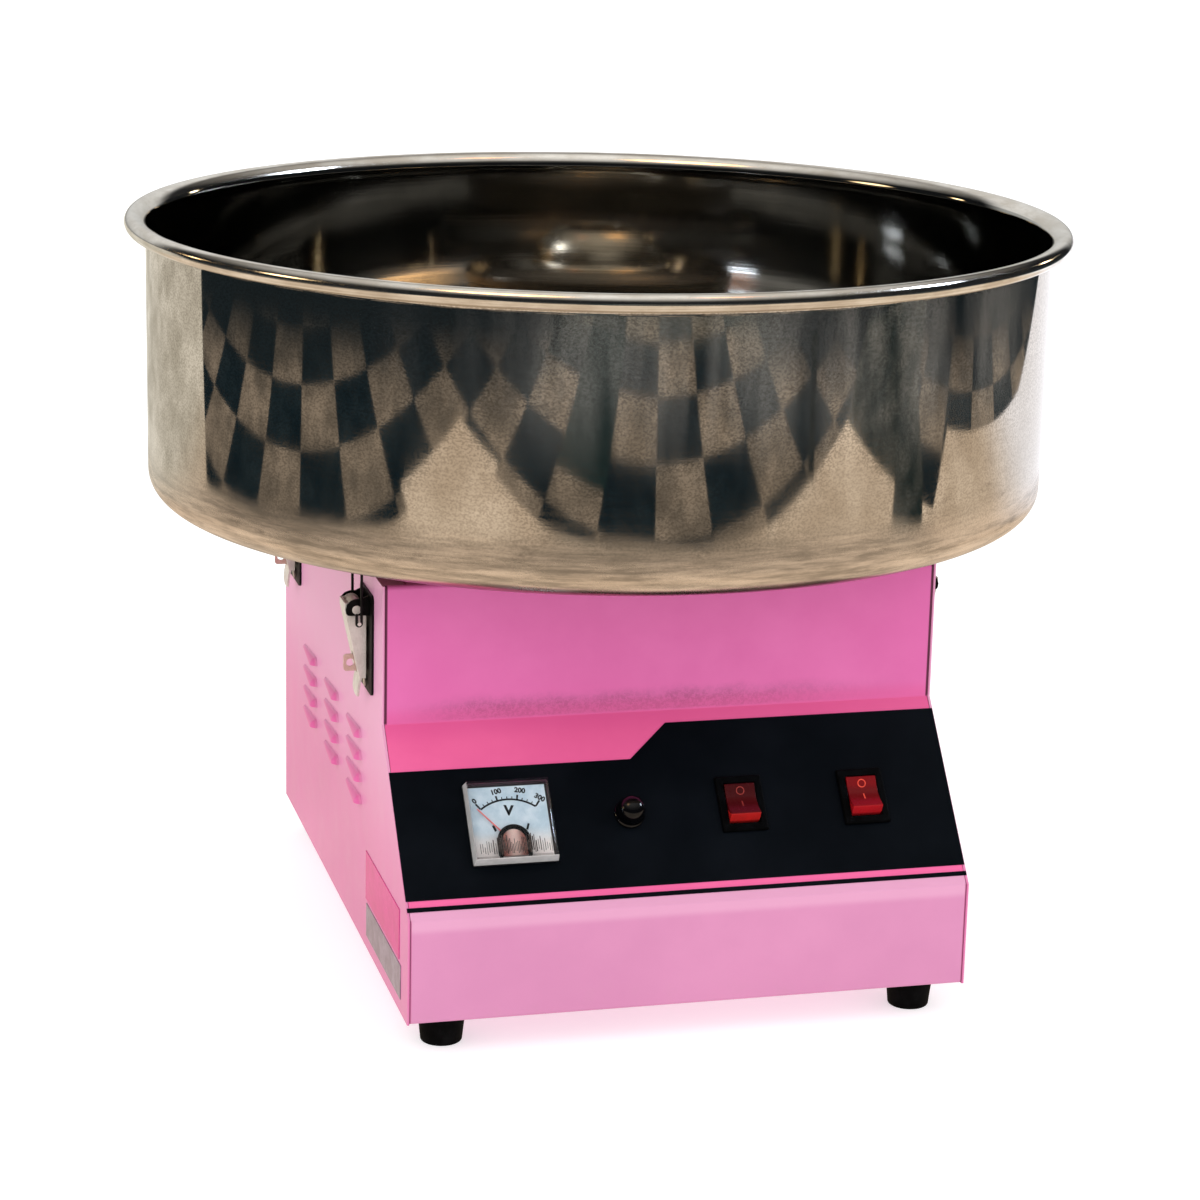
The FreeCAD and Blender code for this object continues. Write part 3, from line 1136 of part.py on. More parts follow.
r1 = box("board", 44.0, 58.0, PZ + 8.0, 80.0, 56.0, 1.6)
rb = [r1]
for k, (sx, sy) in enumerate(((48, 62), (120, 62), (48, 110), (120, 110))):
    rb.append(cyl("standoff_%d" % k, sx, sy, PZ, 2.6, 8.0))
hsb = box("sink_base", 100.0, 66.0, PZ + 9.6, 4.0, 40.0, 30.0)
fins = [hsb] + [box("fin_%d" % k, 104.0, 66.0 + 5.4 * k, PZ + 9.6, 14.0, 2.2, 30.0) for k in range(8)]
rb.append(fuse("heatsink", fins))
rb.append(box("triac", 95.6, 80.0, PZ + 14.0, 4.4, 10.0, 15.0))
rb.append(cyl("inductor", 62.0, 76.0, PZ + 9.6, 9.0, 12.0))
rb.append(box("film_cap", 56.0, 96.0, PZ + 9.6, 22.0, 9.0, 14.0))
c = doc.addObject("Part::Compound", "regulator")
c.Links = rb
node(c, "regulator_board")

t1 = box("term_base", -130.0, 20.0, PZ, 20.0, 60.0 - 8.0, 8.0)
ts = [t1] + [box("term_wall_%d" % k, -130.0, 20.0 + 12.6 * k, PZ, 20.0, 1.6, 17.0) for k in range(5)]
ts += [cyl("term_screw_%d" % k, -120.0, 27.1 + 12.6 * k, PZ + 8.0, 3.4, 3.0) for k in range(4)]
node(fuse("terminals", ts), "terminal_block")

# =========================================================================
# Check and write
# =========================================================================
doc.recompute()
bad = [o.Name for o in doc.Objects if "Invalid" in o.State or "Error" in o.State]
if bad:
    raise RuntimeError("failed objects: " + ", ".join(bad))
os.makedirs("parts", exist_ok=True)
names = set()
for o in FINAL:
    sh = o.Shape
    if sh.isNull() or not sh.isValid() or sh.Volume <= 0 or len(sh.Solids) < 1:
        raise RuntimeError("bad shape: " + o.Label)
    if o.Label in names:
        raise RuntimeError("label used twice: " + o.Label)
    names.add(o.Label)
    sh.exportStep("parts/" + o.Label + ".step")
    bb = sh.BoundBox
    print("%-26s solids %2d vol %10.1f  x %7.1f %7.1f  y %7.1f %7.1f  z %6.1f %6.1f" % (
        o.Label, len(sh.Solids), sh.Volume, bb.XMin, bb.XMax, bb.YMin, bb.YMax, bb.ZMin, bb.ZMax))
print(len(FINAL), "nodes")
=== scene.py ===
import json
import math

import bmesh
import bpy
from mathutils import Matrix, Vector
from mathutils.bvhtree import BVHTree


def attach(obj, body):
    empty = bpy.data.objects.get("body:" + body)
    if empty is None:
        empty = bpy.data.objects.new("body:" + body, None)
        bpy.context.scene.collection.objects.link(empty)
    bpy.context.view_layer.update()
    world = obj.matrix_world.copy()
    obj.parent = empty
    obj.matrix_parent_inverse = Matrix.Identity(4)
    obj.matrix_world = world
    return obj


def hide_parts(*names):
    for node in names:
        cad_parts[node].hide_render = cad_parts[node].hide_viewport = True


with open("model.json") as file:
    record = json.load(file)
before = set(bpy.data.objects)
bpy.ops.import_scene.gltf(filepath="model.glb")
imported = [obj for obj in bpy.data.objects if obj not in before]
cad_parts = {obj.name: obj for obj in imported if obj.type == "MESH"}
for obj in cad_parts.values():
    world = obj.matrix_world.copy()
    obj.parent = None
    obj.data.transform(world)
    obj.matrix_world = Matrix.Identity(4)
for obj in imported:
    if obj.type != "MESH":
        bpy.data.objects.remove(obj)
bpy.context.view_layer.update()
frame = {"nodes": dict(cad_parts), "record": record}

NODES = frame["nodes"]
REC = frame["record"]
SLOT = {s["node"]: s["material_slot"] for s in REC["subparts"]}
BODY = {n: b for b, ns in REC["behaviour"]["bodies"].items() for n in ns}
scene = bpy.context.scene
coll = scene.collection

# =========================================================================
# Camera
# =========================================================================
YAW, PITCH, ROLL = 0.259032, 0.263901, 0.023915
cy, sy, cp, sp = math.cos(YAW), math.sin(YAW), math.cos(PITCH), math.sin(PITCH)
fwd = Vector((sy * cp, cy * cp, -sp))
rgt = Vector((cy, -sy, 0.0))
upv = rgt.cross(fwd)
r2 = math.cos(ROLL) * rgt + math.sin(ROLL) * upv
u2 = -math.sin(ROLL) * rgt + math.cos(ROLL) * upv
cam_data = bpy.data.cameras.new("camera")
cam = bpy.data.objects.new("camera", cam_data)
coll.objects.link(cam)
cam_data.sensor_fit = "HORIZONTAL"
cam_data.sensor_width = 36.0
cam_data.lens = 3337.542 / 1200.0 * 36.0
cam_data.clip_start = 0.05
cam_data.clip_end = 100.0
m3 = Matrix((r2, u2, -fwd)).transposed()
cam.matrix_world = Matrix.Translation((-0.464519, -1.773791, 0.670458)) @ m3.to_4x4()
scene.camera = cam
scene.view_settings.view_transform = "Standard"
scene.view_settings.look = "None"
scene.view_settings.exposure = 0.0
scene.view_settings.gamma = 1.0

# =========================================================================
# Node helpers
# =========================================================================


class Graph:
    """A small wrapper that builds one material's nodes."""

    def __init__(self, name):
        self.m = bpy.data.materials.new(name)
        self.m.use_nodes = True
        self.nt = self.m.node_tree
        self.nt.nodes.clear()
        self.out = self.nt.nodes.new("ShaderNodeOutputMaterial")
        self.p = self.nt.nodes.new("ShaderNodeBsdfPrincipled")
        self.nt.links.new(self.p.outputs[0], self.out.inputs[0])
        self.tc = self.nt.nodes.new("ShaderNodeTexCoord")
        self.obj = self.tc.outputs["Object"]

    def new(self, kind, **props):
        n = self.nt.nodes.new(kind)
        for k, v in props.items():
            setattr(n, k, v)
        return n

    def link(self, a, b):
        self.nt.links.new(a, b)

    def put(self, sock, v):
        if hasattr(v, "is_output") or isinstance(v, bpy.types.NodeSocket):
            self.link(v, sock)
        else:
            sock.default_value = v

    def scaled(self, vec, s):
        n = self.new("ShaderNodeMapping")
        n.vector_type = "POINT"
        self.link(vec, n.inputs["Vector"])
        n.inputs["Scale"].default_value = s
        return n.outputs[0]

    def noise(self, scale, detail=3.0, rough=0.55, vec=None, dist=0.0):
        n = self.new("ShaderNodeTexNoise")
        self.link(vec or self.obj, n.inputs["Vector"])
        n.inputs["Scale"].default_value = scale
        n.inputs["Detail"].default_value = detail
        n.inputs["Roughness"].default_value = rough
        n.inputs["Distortion"].default_value = dist
        return n.outputs["Fac"]

    def voronoi(self, scale, vec=None, feature="F1", out="Distance"):
        n = self.new("ShaderNodeTexVoronoi", feature=feature)
        self.link(vec or self.obj, n.inputs["Vector"])
        n.inputs["Scale"].default_value = scale
        return n.outputs[out]

    def math(self, op, a, b=0.0, c=0.0, clamp=False):
        n = self.new("ShaderNodeMath", operation=op, use_clamp=clamp)
        self.put(n.inputs[0], a)
        self.put(n.inputs[1], b)
        if len(n.inputs) > 2:
            self.put(n.inputs[2], c)
        return n.outputs[0]

    def ramp(self, fac, stops, mode="LINEAR"):
        n = self.new("ShaderNodeValToRGB")
        n.color_ramp.interpolation = mode
        el = n.color_ramp.elements
        while len(el) > 1:
            el.remove(el[-1])
        for i, (pos, col) in enumerate(stops):
            e = el[0] if i == 0 else el.new(pos)
            e.position = pos
            e.color = (*col[:3], 1.0) if hasattr(col, "__len__") else (col, col, col, 1.0)
        self.link(fac, n.inputs[0])
        return n.outputs[0]

    def remap(self, v, a, b, c, d):
        n = self.new("ShaderNodeMapRange")
        self.link(v, n.inputs[0])
        for i, x in enumerate((a, b, c, d)):
            n.inputs[i + 1].default_value = x
        return n.outputs[0]

    def smooth(self, v, a, b, c=0.0, d=1.0):
        n = self.new("ShaderNodeMapRange", interpolation_type="SMOOTHSTEP")
        self.link(v, n.inputs[0])
        for i, x in enumerate((a, b, c, d)):
            n.inputs[i + 1].default_value = x
        return n.outputs[0]

    def mix(self, fac, a, b, blend="MIX"):
        n = self.new("ShaderNodeMix", data_type="RGBA", blend_type=blend)
        self.put(n.inputs[0], fac)
        for sock, v in ((n.inputs[6], a), (n.inputs[7], b)):
            if isinstance(v, bpy.types.NodeSocket):
                self.link(v, sock)
            else:
                sock.default_value = (*v[:3], 1.0)
        return n.outputs[2]

    def bump(self, height, strength, distance=0.0005, normal=None):
        n = self.new("ShaderNodeBump")
        n.inputs["Strength"].default_value = strength
        n.inputs["Distance"].default_value = distance
        self.link(height, n.inputs["Height"])
        if normal is not None:
            self.link(normal, n.inputs["Normal"])
        return n.outputs[0]

    def sep(self, vec=None):
        n = self.new("ShaderNodeSeparateXYZ")
        self.link(vec or self.obj, n.inputs[0])
        return n.outputs

    def comb(self, x, y, z):
        n = self.new("ShaderNodeCombineXYZ")
        for s, v in zip(n.inputs, (x, y, z)):
            self.put(s, v)
        return n.outputs[0]

    def polar(self):
        """Coordinates unrolled round Z: (arc length at 0.25 m, height, radius)."""
        x, y, z = self.sep()[:3]
        a = self.math("ARCTAN2", y, x)
        r = self.math("SQRT", self.math("ADD", self.math("MULTIPLY", x, x), self.math("MULTIPLY", y, y)))
        return self.comb(self.math("MULTIPLY", a, 0.25), z, r), a, z, r

    def done(self, base=None, rough=None, metal=None, normal=None, **sockets):
        p = self.p
        for name, v in (("Base Color", base), ("Roughness", rough), ("Metallic", metal)):
            if v is None:
                continue
            if isinstance(v, bpy.types.NodeSocket):
                self.link(v, p.inputs[name])
            elif name == "Base Color":
                p.inputs[name].default_value = (*v[:3], 1.0)
            else:
                p.inputs[name].default_value = v
        if normal is not None:
            self.link(normal, p.inputs["Normal"])
        for k, v in sockets.items():
            key = k.replace("_", " ")
            if hasattr(v, "__len__"):
                v = (*v[:3], 1.0)
            p.inputs[key].default_value = v
        return self.m


def lin(r, g, b):
    """Linear colour from 0-255 display values."""
    f = lambda c: c / 12.92 if c <= 0.04045 else ((c + 0.055) / 1.055) ** 2.4
    return tuple(f(x / 255.0) for x in (r, g, b))


def metal(name, lo, hi, r0, r1, scale=60.0, streak=None, bump=0.05, speck=0.0, **kw):
    """Metal with blotchy colour and roughness, and drawing or brushing lines along one axis."""
    g = Graph(name)
    big = g.noise(scale, 4.0, 0.6)
    fine = g.noise(scale * 14.0, 3.0, 0.6, g.scaled(g.obj, streak) if streak else None)
    f = g.math("ADD", g.math("MULTIPLY", big, 0.6), g.math("MULTIPLY", fine, 0.4))
    f = g.smooth(f, 0.35, 0.68)
    base = g.mix(f, lo, hi)
    if speck:
        s = g.smooth(g.noise(scale * 5.0, 2.0, 0.5), 0.66, 0.74)
        base = g.mix(g.math("MULTIPLY", s, speck), base, tuple(c * 0.35 for c in lo))
    rough = g.remap(f, 0.0, 1.0, r1, r0)
    return g.done(base, rough, 1.0, g.bump(fine, bump, 0.0002), **kw)


def plastic(name, lo, hi, r0, r1, scale=140.0, grain=900.0, bump=0.08, dist=0.0002, **kw):
    g = Graph(name)
    big = g.noise(scale, 3.0, 0.6)
    fine = g.noise(grain, 2.0, 0.5)
    f = g.smooth(big, 0.35, 0.7)
    base = g.mix(f, lo, hi)
    rough = g.remap(g.math("ADD", g.math("MULTIPLY", big, 0.5), g.math("MULTIPLY", fine, 0.5)), 0.3, 0.7, r0, r1)
    return g.done(base, rough, 0.0, g.bump(fine, bump, dist), **kw)


# =========================================================================
# Materials
# =========================================================================
MAT = {}


def pink_paint(name, zones, edge=None, rough=(0.34, 0.46), coat=0.12):
    """Powder coat; zones are (height in metres, low colour, high colour) from the floor up."""
    g = Graph(name)
    big = g.noise(7.0, 3.0, 0.55)
    mid = g.noise(45.0, 3.0, 0.6)
    peel = g.noise(520.0, 2.0, 0.5)
    f = g.smooth(g.math("ADD", g.math("MULTIPLY", big, 0.7), g.math("MULTIPLY", mid, 0.3)), 0.32, 0.7)
    x, y, z = g.sep()[:3]
    base = None
    for h, lo, hi in zones:
        c = g.mix(f, lo, hi)
        base = c if base is None else g.mix(g.smooth(z, h - 0.0006, h + 0.0006), base, c)
    if edge:
        base = edge(g, base, x, y, z, mid)
    # a little dust settles low down on the cabinet
    low = g.math("MULTIPLY", g.smooth(z, 0.045, 0.018), g.smooth(g.noise(90.0, 4.0, 0.7), 0.45, 0.75))
    base = g.mix(g.math("MULTIPLY", low, 0.18), base, (0.50, 0.22, 0.32))
    r = g.remap(mid, 0.3, 0.7, *rough)
    return g.done(base, r, 0.0, g.bump(peel, 0.10, 0.0003), Coat_Weight=coat, Coat_Roughness=0.12, IOR=1.5,
                  Specular_IOR_Level=0.25)


def dark_fold(g, base, x, y, z, mid):
    """Painted shade in the inside fold above the slanted face, a painted highlight on the lip's top roll, and painted
    shade down the front corners.
    """
    # painted shade: a grainy dark band just above the fold
    edge = g.math("MULTIPLY_ADD", g.math("SUBTRACT", g.noise(38.0, 4.0, 0.7), 0.5), 0.012, 0.1690)
    band = g.math("MULTIPLY", g.smooth(z, 0.1553, 0.1572), g.smooth(g.math("SUBTRACT", z, edge), 0.0015, -0.0085))
    along = g.math("MULTIPLY", g.smooth(x, 0.150, 0.010), g.smooth(x, -0.150, -0.090))
    speck = g.smooth(g.noise(520.0, 5.0, 0.8), 0.42, 0.58)
    k = g.math("MULTIPLY", g.math("MULTIPLY", band, along), g.math("MULTIPLY_ADD", speck, 0.32, 0.34))
    base = g.mix(k, base, (0.235, 0.050, 0.125))
    # painted shade makes the pressed fold itself deeper, and a painted highlight makes the top roll of the lip paler
    fold = g.math("MULTIPLY", g.smooth(z, 0.1450, 0.1550), g.smooth(z, 0.1660, 0.1580))
    base = g.mix(g.math("MULTIPLY", fold, 0.45), base, (0.72, 0.085, 0.290))
    roll = g.math("MULTIPLY", g.smooth(z, 0.0655, 0.0700), g.smooth(z, 0.0790, 0.0775))
    base = g.mix(g.math("MULTIPLY", roll, 0.45), base, (0.78, 0.42, 0.58))
    # painted shade: a dark line down both front corners, in the seams where the front panel meets the side panels
    out = g.math("ABSOLUTE", x)
    upper = g.math("MULTIPLY", g.smooth(out, 0.1471, 0.1477), g.smooth(z, 0.1550, 0.1565))
    base = g.mix(g.math("MULTIPLY", upper, 0.92), base, (0.060, 0.006, 0.022))
    lower = g.math("MULTIPLY", g.smooth(out, 0.1476, 0.1484), g.smooth(z, 0.0750, 0.0735))
    return g.mix(g.math("MULTIPLY", lower, 0.75), base, (0.36, 0.040, 0.15))


PINK_LO = (0.700, 0.128, 0.380)
PINK_HI = (0.760, 0.156, 0.425)
MAT["pink_paint"] = pink_paint("pink_powder_coat", [(0.0, PINK_LO, PINK_HI)])
# each face of the bent front sheet gets its own copy of the paint, as painted light: the lip paler as painted
# reflection of the bright floor, the slanted face, which catches the light from above, a hotter copy
MAT["pink_front"] = pink_paint("pink_front", [(0.0, (0.60, 0.225, 0.405), (0.66, 0.255, 0.445)),
                                              (0.0788, (0.78, 0.105, 0.300), (0.85, 0.130, 0.335)),
                                              (0.1557, PINK_LO, PINK_HI)], dark_fold)


def side_tone(g, base, x, y, z, mid):
    """Paler towards the top as painted light from above, painted shade on the pressed louvre hoods, and a deeper tone
    on the panel's inner face and edge at the height of the slanted face.
    """
    # painted light: the panel pales towards the top
    up = g.smooth(z, 0.075, 0.165)
    base = g.mix(up, base, g.mix(mid, (0.74, 0.325, 0.515), (0.80, 0.365, 0.560)))
    # painted shade on the louvre hoods, which face away from the light
    out = g.math("ABSOLUTE", x)
    hood = g.math("MULTIPLY", g.smooth(out, 0.15015, 0.1520), g.smooth(out, 0.1560, 0.1550))
    base = g.mix(g.math("MULTIPLY", hood, 0.85), base, (0.74, 0.115, 0.345))
    inside = g.math("MULTIPLY", g.smooth(out, 0.1497, 0.1490), g.smooth(g.math("ABSOLUTE", g.math("SUBTRACT", z, 0.1150)), 0.0400, 0.0420))
    return g.mix(g.math("MULTIPLY", inside, 0.55), base, (0.45, 0.06, 0.20))


def well(g, base, x, y, z, mid):
    """A near-black patch painted as shade on the deck round the motor shaft, under the bowl's opening."""
    r = g.math("SQRT", g.math("ADD", g.math("MULTIPLY", x, x), g.math("MULTIPLY", y, y)))
    k = g.smooth(g.math("MULTIPLY_ADD", g.math("SUBTRACT", mid, 0.5), 0.02, r), 0.104, 0.090)
    return g.mix(k, base, g.mix(mid, (0.010, 0.008, 0.007), (0.022, 0.017, 0.014)))


MAT["pink_deck"] = pink_paint("pink_deck", [(0.0, PINK_LO, PINK_HI)], well)
# the side panels get their own paler copy of the paint: painted light for the light falling on them from the left
MAT["pink_side"] = pink_paint("pink_side", [(0.0, (0.67, 0.195, 0.385), (0.73, 0.225, 0.425))], side_tone, (0.40, 0.52), 0.20)


def overlay_film():
    g = Graph("black_film")
    x, y, z = g.sep()[:3]
    big = g.noise(16.0, 4.0, 0.6)
    grain = g.noise(1400.0, 2.0, 0.5)
    base = g.mix(g.smooth(big, 0.35, 0.7), (0.0012, 0.0024, 0.0042), (0.0030, 0.0046, 0.0072))
    dust = g.smooth(g.noise(260.0, 4.0, 0.75), 0.70, 0.82)
    base = g.mix(g.math("MULTIPLY", dust, 0.08), base, (0.05, 0.05, 0.055))
    rough = g.remap(big, 0.3, 0.7, 0.42, 0.56)
    return g.done(base, rough, 0.0, g.bump(grain, 0.12, 0.0001), Specular_IOR_Level=0.035)


MAT["overlay_film"] = overlay_film()


def side_film():
    """Two blank plates: the upper one pink and glossy, the lower one silver-grey."""
    g = Graph("side_film")
    z = g.sep()[2]
    up = g.smooth(z, 0.0449, 0.0451)
    mott = g.noise(70.0, 4.0, 0.65)
    pink = g.mix(g.smooth(mott, 0.35, 0.7), (0.60, 0.034, 0.225), (0.67, 0.056, 0.272))
    grey = g.mix(g.smooth(mott, 0.35, 0.7), (0.21, 0.150, 0.195), (0.33, 0.260, 0.310))
    base = g.mix(up, grey, pink)
    rough = g.remap(mott, 0.3, 0.7, 0.16, 0.28)
    return g.done(base, rough, 0.0, g.bump(g.noise(800.0), 0.05, 0.0002), Coat_Weight=0.05, Coat_Roughness=0.06,
                  Specular_IOR_Level=0.10)


MAT["side_plate_film"] = side_film()
MAT["rubber"] = plastic("black_rubber", (0.0016, 0.0016, 0.0018), (0.0045, 0.0045, 0.0048), 0.55, 0.8, 120.0, 700.0, 0.35,
                        Specular_IOR_Level=0.03)
MAT["screw_steel"] = metal("zinc_screw", (0.42, 0.41, 0.38), (0.68, 0.67, 0.62), 0.22, 0.38, 220.0, bump=0.06)
MAT["black_nylon"] = plastic("black_nylon", (0.010, 0.010, 0.011), (0.020, 0.020, 0.021), 0.42, 0.6, 160.0, 900.0, 0.12)
MAT["latch_steel"] = metal("latch_nickel", (0.62, 0.560, 0.500), (0.78, 0.725, 0.665), 0.34, 0.46, 170.0,
                           streak=(1.0, 1.0, 0.12), bump=0.05, speck=0.20)
MAT["latch_steel"].node_tree.nodes["Principled BSDF"].inputs["Metallic"].default_value = 0.30
MAT["latch_dark_steel"] = plastic("latch_dark", (0.0012, 0.0013, 0.0014), (0.0042, 0.0043, 0.0044), 0.34, 0.50, 150.0, 900.0,
                                  0.08, Specular_IOR_Level=0.10)
MAT["latch_staple"] = metal("latch_staple", (0.56, 0.34, 0.29), (0.70, 0.46, 0.41), 0.30, 0.42, 200.0, bump=0.05)
MAT["latch_staple"].node_tree.nodes["Principled BSDF"].inputs["Metallic"].default_value = 0.25
MAT["wire_steel"] = plastic("bail_wire", (0.0020, 0.0018, 0.0020), (0.006, 0.0055, 0.0058), 0.24, 0.4, 260.0, 900.0, 0.05,
                            Specular_IOR_Level=0.20)
MAT["meter_black"] = plastic("meter_black", (0.004, 0.0045, 0.006), (0.009, 0.010, 0.012), 0.25, 0.4, 120.0, 900.0, 0.06,
                             Specular_IOR_Level=0.3)
MAT["switch_black"] = plastic("switch_black", (0.0004, 0.0006, 0.0009), (0.0014, 0.0017, 0.0022), 0.40, 0.55, 150.0, 1500.0,
                              0.10, Specular_IOR_Level=0.035)
MAT["knob_black"] = plastic("knob_black", (0.0006, 0.0006, 0.0010), (0.0018, 0.0018, 0.0024), 0.10, 0.15, 120.0, 600.0, 0.03,
                            Specular_IOR_Level=0.32)
MAT["zinc_steel"] = metal("zinc_plate", (0.46, 0.45, 0.41), (0.66, 0.65, 0.60), 0.24, 0.42, 70.0, bump=0.05)
MAT["motor_aluminium"] = metal("cast_aluminium", (0.48, 0.48, 0.48), (0.66, 0.66, 0.66), 0.36, 0.55, 90.0, bump=0.25)
MAT["lamination"] = metal("laminations", (0.10, 0.095, 0.09), (0.22, 0.21, 0.20), 0.4, 0.6, 60.0,
                          streak=(0.05, 0.05, 3.0), bump=0.3)
MAT["copper"] = metal("enamelled_copper", (0.36, 0.13, 0.05), (0.62, 0.27, 0.12), 0.26, 0.42, 80.0,
                      streak=(0.2, 0.2, 2.0), bump=0.3)
MAT["brass"] = metal("brass", (0.52, 0.38, 0.13), (0.74, 0.57, 0.26), 0.22, 0.36, 120.0, bump=0.05)
MAT["carbon"] = plastic("carbon", (0.012, 0.012, 0.013), (0.03, 0.03, 0.032), 0.5, 0.7, 300.0, 1200.0, 0.2)
MAT["fan_plastic"] = plastic("fan_plastic", (0.014, 0.014, 0.016), (0.028, 0.028, 0.03), 0.4, 0.55, 90.0, 700.0, 0.1)
MAT["element_steel"] = metal("element_sheath", (0.12, 0.085, 0.06), (0.34, 0.26, 0.19), 0.35, 0.55, 60.0, bump=0.1)
MAT["board"] = plastic("board_green", (0.010, 0.06, 0.022), (0.022, 0.11, 0.04), 0.28, 0.42, 120.0, 800.0, 0.06)
MAT["terminal_white"] = plastic("terminal_white", (0.55, 0.53, 0.46), (0.70, 0.68, 0.60), 0.42, 0.58, 80.0, 600.0, 0.06)


def rocker(name, top, mid, low, bright):
    """Translucent red cap: painted shade where it is pressed in, and a painted glow where its raised flank is thin."""
    g = Graph(name)
    z = g.sep()[2]
    big = g.noise(160.0, 3.0, 0.6)
    # painted shade on the pressed-in end, a painted glow on the thin raised flank
    body = g.mix(g.smooth(z, 0.1205, 0.1168), top, mid)
    body = g.mix(g.smooth(z, 0.1152, 0.1128), body, low)
    body = g.mix(g.smooth(z, 0.1124, 0.1117), body, bright)
    base = g.mix(g.math("MULTIPLY", g.smooth(big, 0.35, 0.7), 0.20), body, mid)
    rough = g.remap(big, 0.3, 0.7, 0.20, 0.32)
    return g.done(base, rough, 0.0, g.bump(g.noise(700.0), 0.03, 0.0002), Coat_Weight=0.04, Coat_Roughness=0.05,
                  Specular_IOR_Level=0.10, IOR=1.5)


MAT["heater_red"] = rocker("rocker_red_dim", (0.048, 0.0022, 0.0035), (0.055, 0.003, 0.0045), (0.085, 0.004, 0.006),
                           (0.42, 0.013, 0.012))
MAT["power_red"] = rocker("rocker_red", (0.180, 0.0035, 0.006), (0.120, 0.0022, 0.0045), (0.215, 0.0045, 0.008), (0.40, 0.009, 0.014))


def bowl_steel(name):
    """Spun stainless: mirror-bright under a thin warm patina with fine grain and faint turning rings."""
    g = Graph(name)
    pol, a, z, r = g.polar()
    blotch = g.noise(9.0, 4.0, 0.6, g.scaled(pol, (1.0, 1.8, 1.0)))
    streak = g.noise(26.0, 3.0, 0.6, g.scaled(pol, (1.6, 0.28, 1.0)))
    rings = g.noise(60.0, 2.0, 0.5, g.scaled(pol, (0.10, 9.0, 9.0)))
    grain = g.noise(900.0, 2.0, 0.7, g.scaled(pol, (0.8, 1.0, 1.0)))
    drag = g.noise(90.0, 4.0, 0.7, g.scaled(pol, (0.30, 3.2, 3.2)))
    f = g.math("ADD", g.math("MULTIPLY", blotch, 0.45), g.math("MULTIPLY", streak, 0.35))
    f = g.math("ADD", f, g.math("MULTIPLY", rings, 0.20))
    f = g.smooth(f, 0.36, 0.64)
    base = g.mix(f, STEEL_LO, STEEL_HI)
    # fine grain of the patina, stronger where the patina is
    gr = g.smooth(grain, 0.36, 0.60)
    k = g.math("MULTIPLY", g.math("SUBTRACT", 1.0, gr), g.math("MULTIPLY_ADD", f, 0.20, 0.30))
    base = g.mix(k, base, (0.20, 0.17, 0.135))
    # duller, rougher belt at the bottom corner of the wall, where the bowl is handled and wiped
    zz = g.math("ADD", z, g.math("MULTIPLY", g.math("SUBTRACT", blotch, 0.5), 0.022))
    belt = g.smooth(zz, 0.277, 0.254)
    dr = g.smooth(g.math("ADD", g.math("MULTIPLY", drag, 0.7), g.math("MULTIPLY", blotch, 0.3)), 0.36, 0.62)
    base = g.mix(g.math("MULTIPLY", belt, 0.85), base, g.mix(dr, (0.37, 0.325, 0.280), (0.84, 0.735, 0.640)))
    edge = g.smooth(z, 0.2455, 0.2425)
    base = g.mix(g.math("MULTIPLY", edge, 0.6), base, (0.22, 0.19, 0.18))
    # faint run marks and scuffs just above it
    scuff = g.smooth(g.noise(34.0, 4.0, 0.7, g.scaled(pol, (1.0, 2.4, 1.0))), 0.60, 0.74)
    near = g.math("MULTIPLY", g.smooth(z, 0.310, 0.262), g.smooth(z, 0.243, 0.252))
    base = g.mix(g.math("MULTIPLY", g.math("MULTIPLY", scuff, near), 0.60), base, (0.20, 0.17, 0.145))
    rough = g.remap(g.math("ADD", g.math("MULTIPLY", gr, 0.4), g.math("MULTIPLY", f, 0.6)), 0.2, 0.8, 0.062, 0.022)
    rough = g.math("ADD", rough, g.math("MULTIPLY", belt, 0.24))
    nrm = g.bump(g.math("ADD", g.math("MULTIPLY", grain, 0.5), g.math("MULTIPLY", rings, 0.5)), 0.03, 0.0001)
    # the spun wall is very slightly wavy
    wave = g.noise(5.0, 1.0, 0.4, g.scaled(pol, (1.0, 0.6, 1.0)))
    nrm = g.bump(wave, 0.12, 0.004, nrm)
    # wiped, cloudy streaks below the rim at the front
    x = g.sep()[0]
    smear = g.noise(15.0, 3.0, 0.65, g.scaled(pol, (1.6, 0.20, 1.0)))
    cloud = g.math("MULTIPLY", g.smooth(smear, 0.36, 0.66), g.smooth(z, 0.292, 0.352))
    cloud = g.math("MULTIPLY", cloud, g.math("MULTIPLY", g.smooth(x, -0.17, -0.05), g.smooth(x, 0.225, 0.150)))
    metal = g.math("MULTIPLY_ADD", cloud, -0.15, 1.0)
    return g.done(base, rough, metal, nrm)


STEEL_LO = (0.56, 0.515, 0.455)
STEEL_HI = (0.70, 0.650, 0.585)
MAT["bowl_steel"] = bowl_steel("spun_stainless")


def inner_steel():
    """Inside of the bowl: the same sheet, cleaner and polished, with faint rings and sugar haze low down."""
    g = Graph("bowl_inside")
    pol, a, z, r = g.polar()
    rings = g.noise(70.0, 2.0, 0.5, g.scaled(pol, (0.10, 9.0, 9.0)))
    blot = g.noise(14.0, 4.0, 0.6, g.scaled(pol, (1.0, 1.6, 1.0)))
    f = g.smooth(g.math("ADD", g.math("MULTIPLY", rings, 0.4), g.math("MULTIPLY", blot, 0.6)), 0.34, 0.66)
    base = g.mix(f, (0.38, 0.375, 0.355), (0.52, 0.51, 0.485))
    # the floor of the bowl is scoured a little duller than the wall
    low = g.smooth(z, 0.250, 0.243)
    rough = g.math("MULTIPLY_ADD", low, 0.05, g.remap(f, 0.0, 1.0, 0.065, 0.040))
    return g.done(base, rough, 1.0, g.bump(rings, 0.05, 0.0001))


MAT["bowl_inside"] = inner_steel()


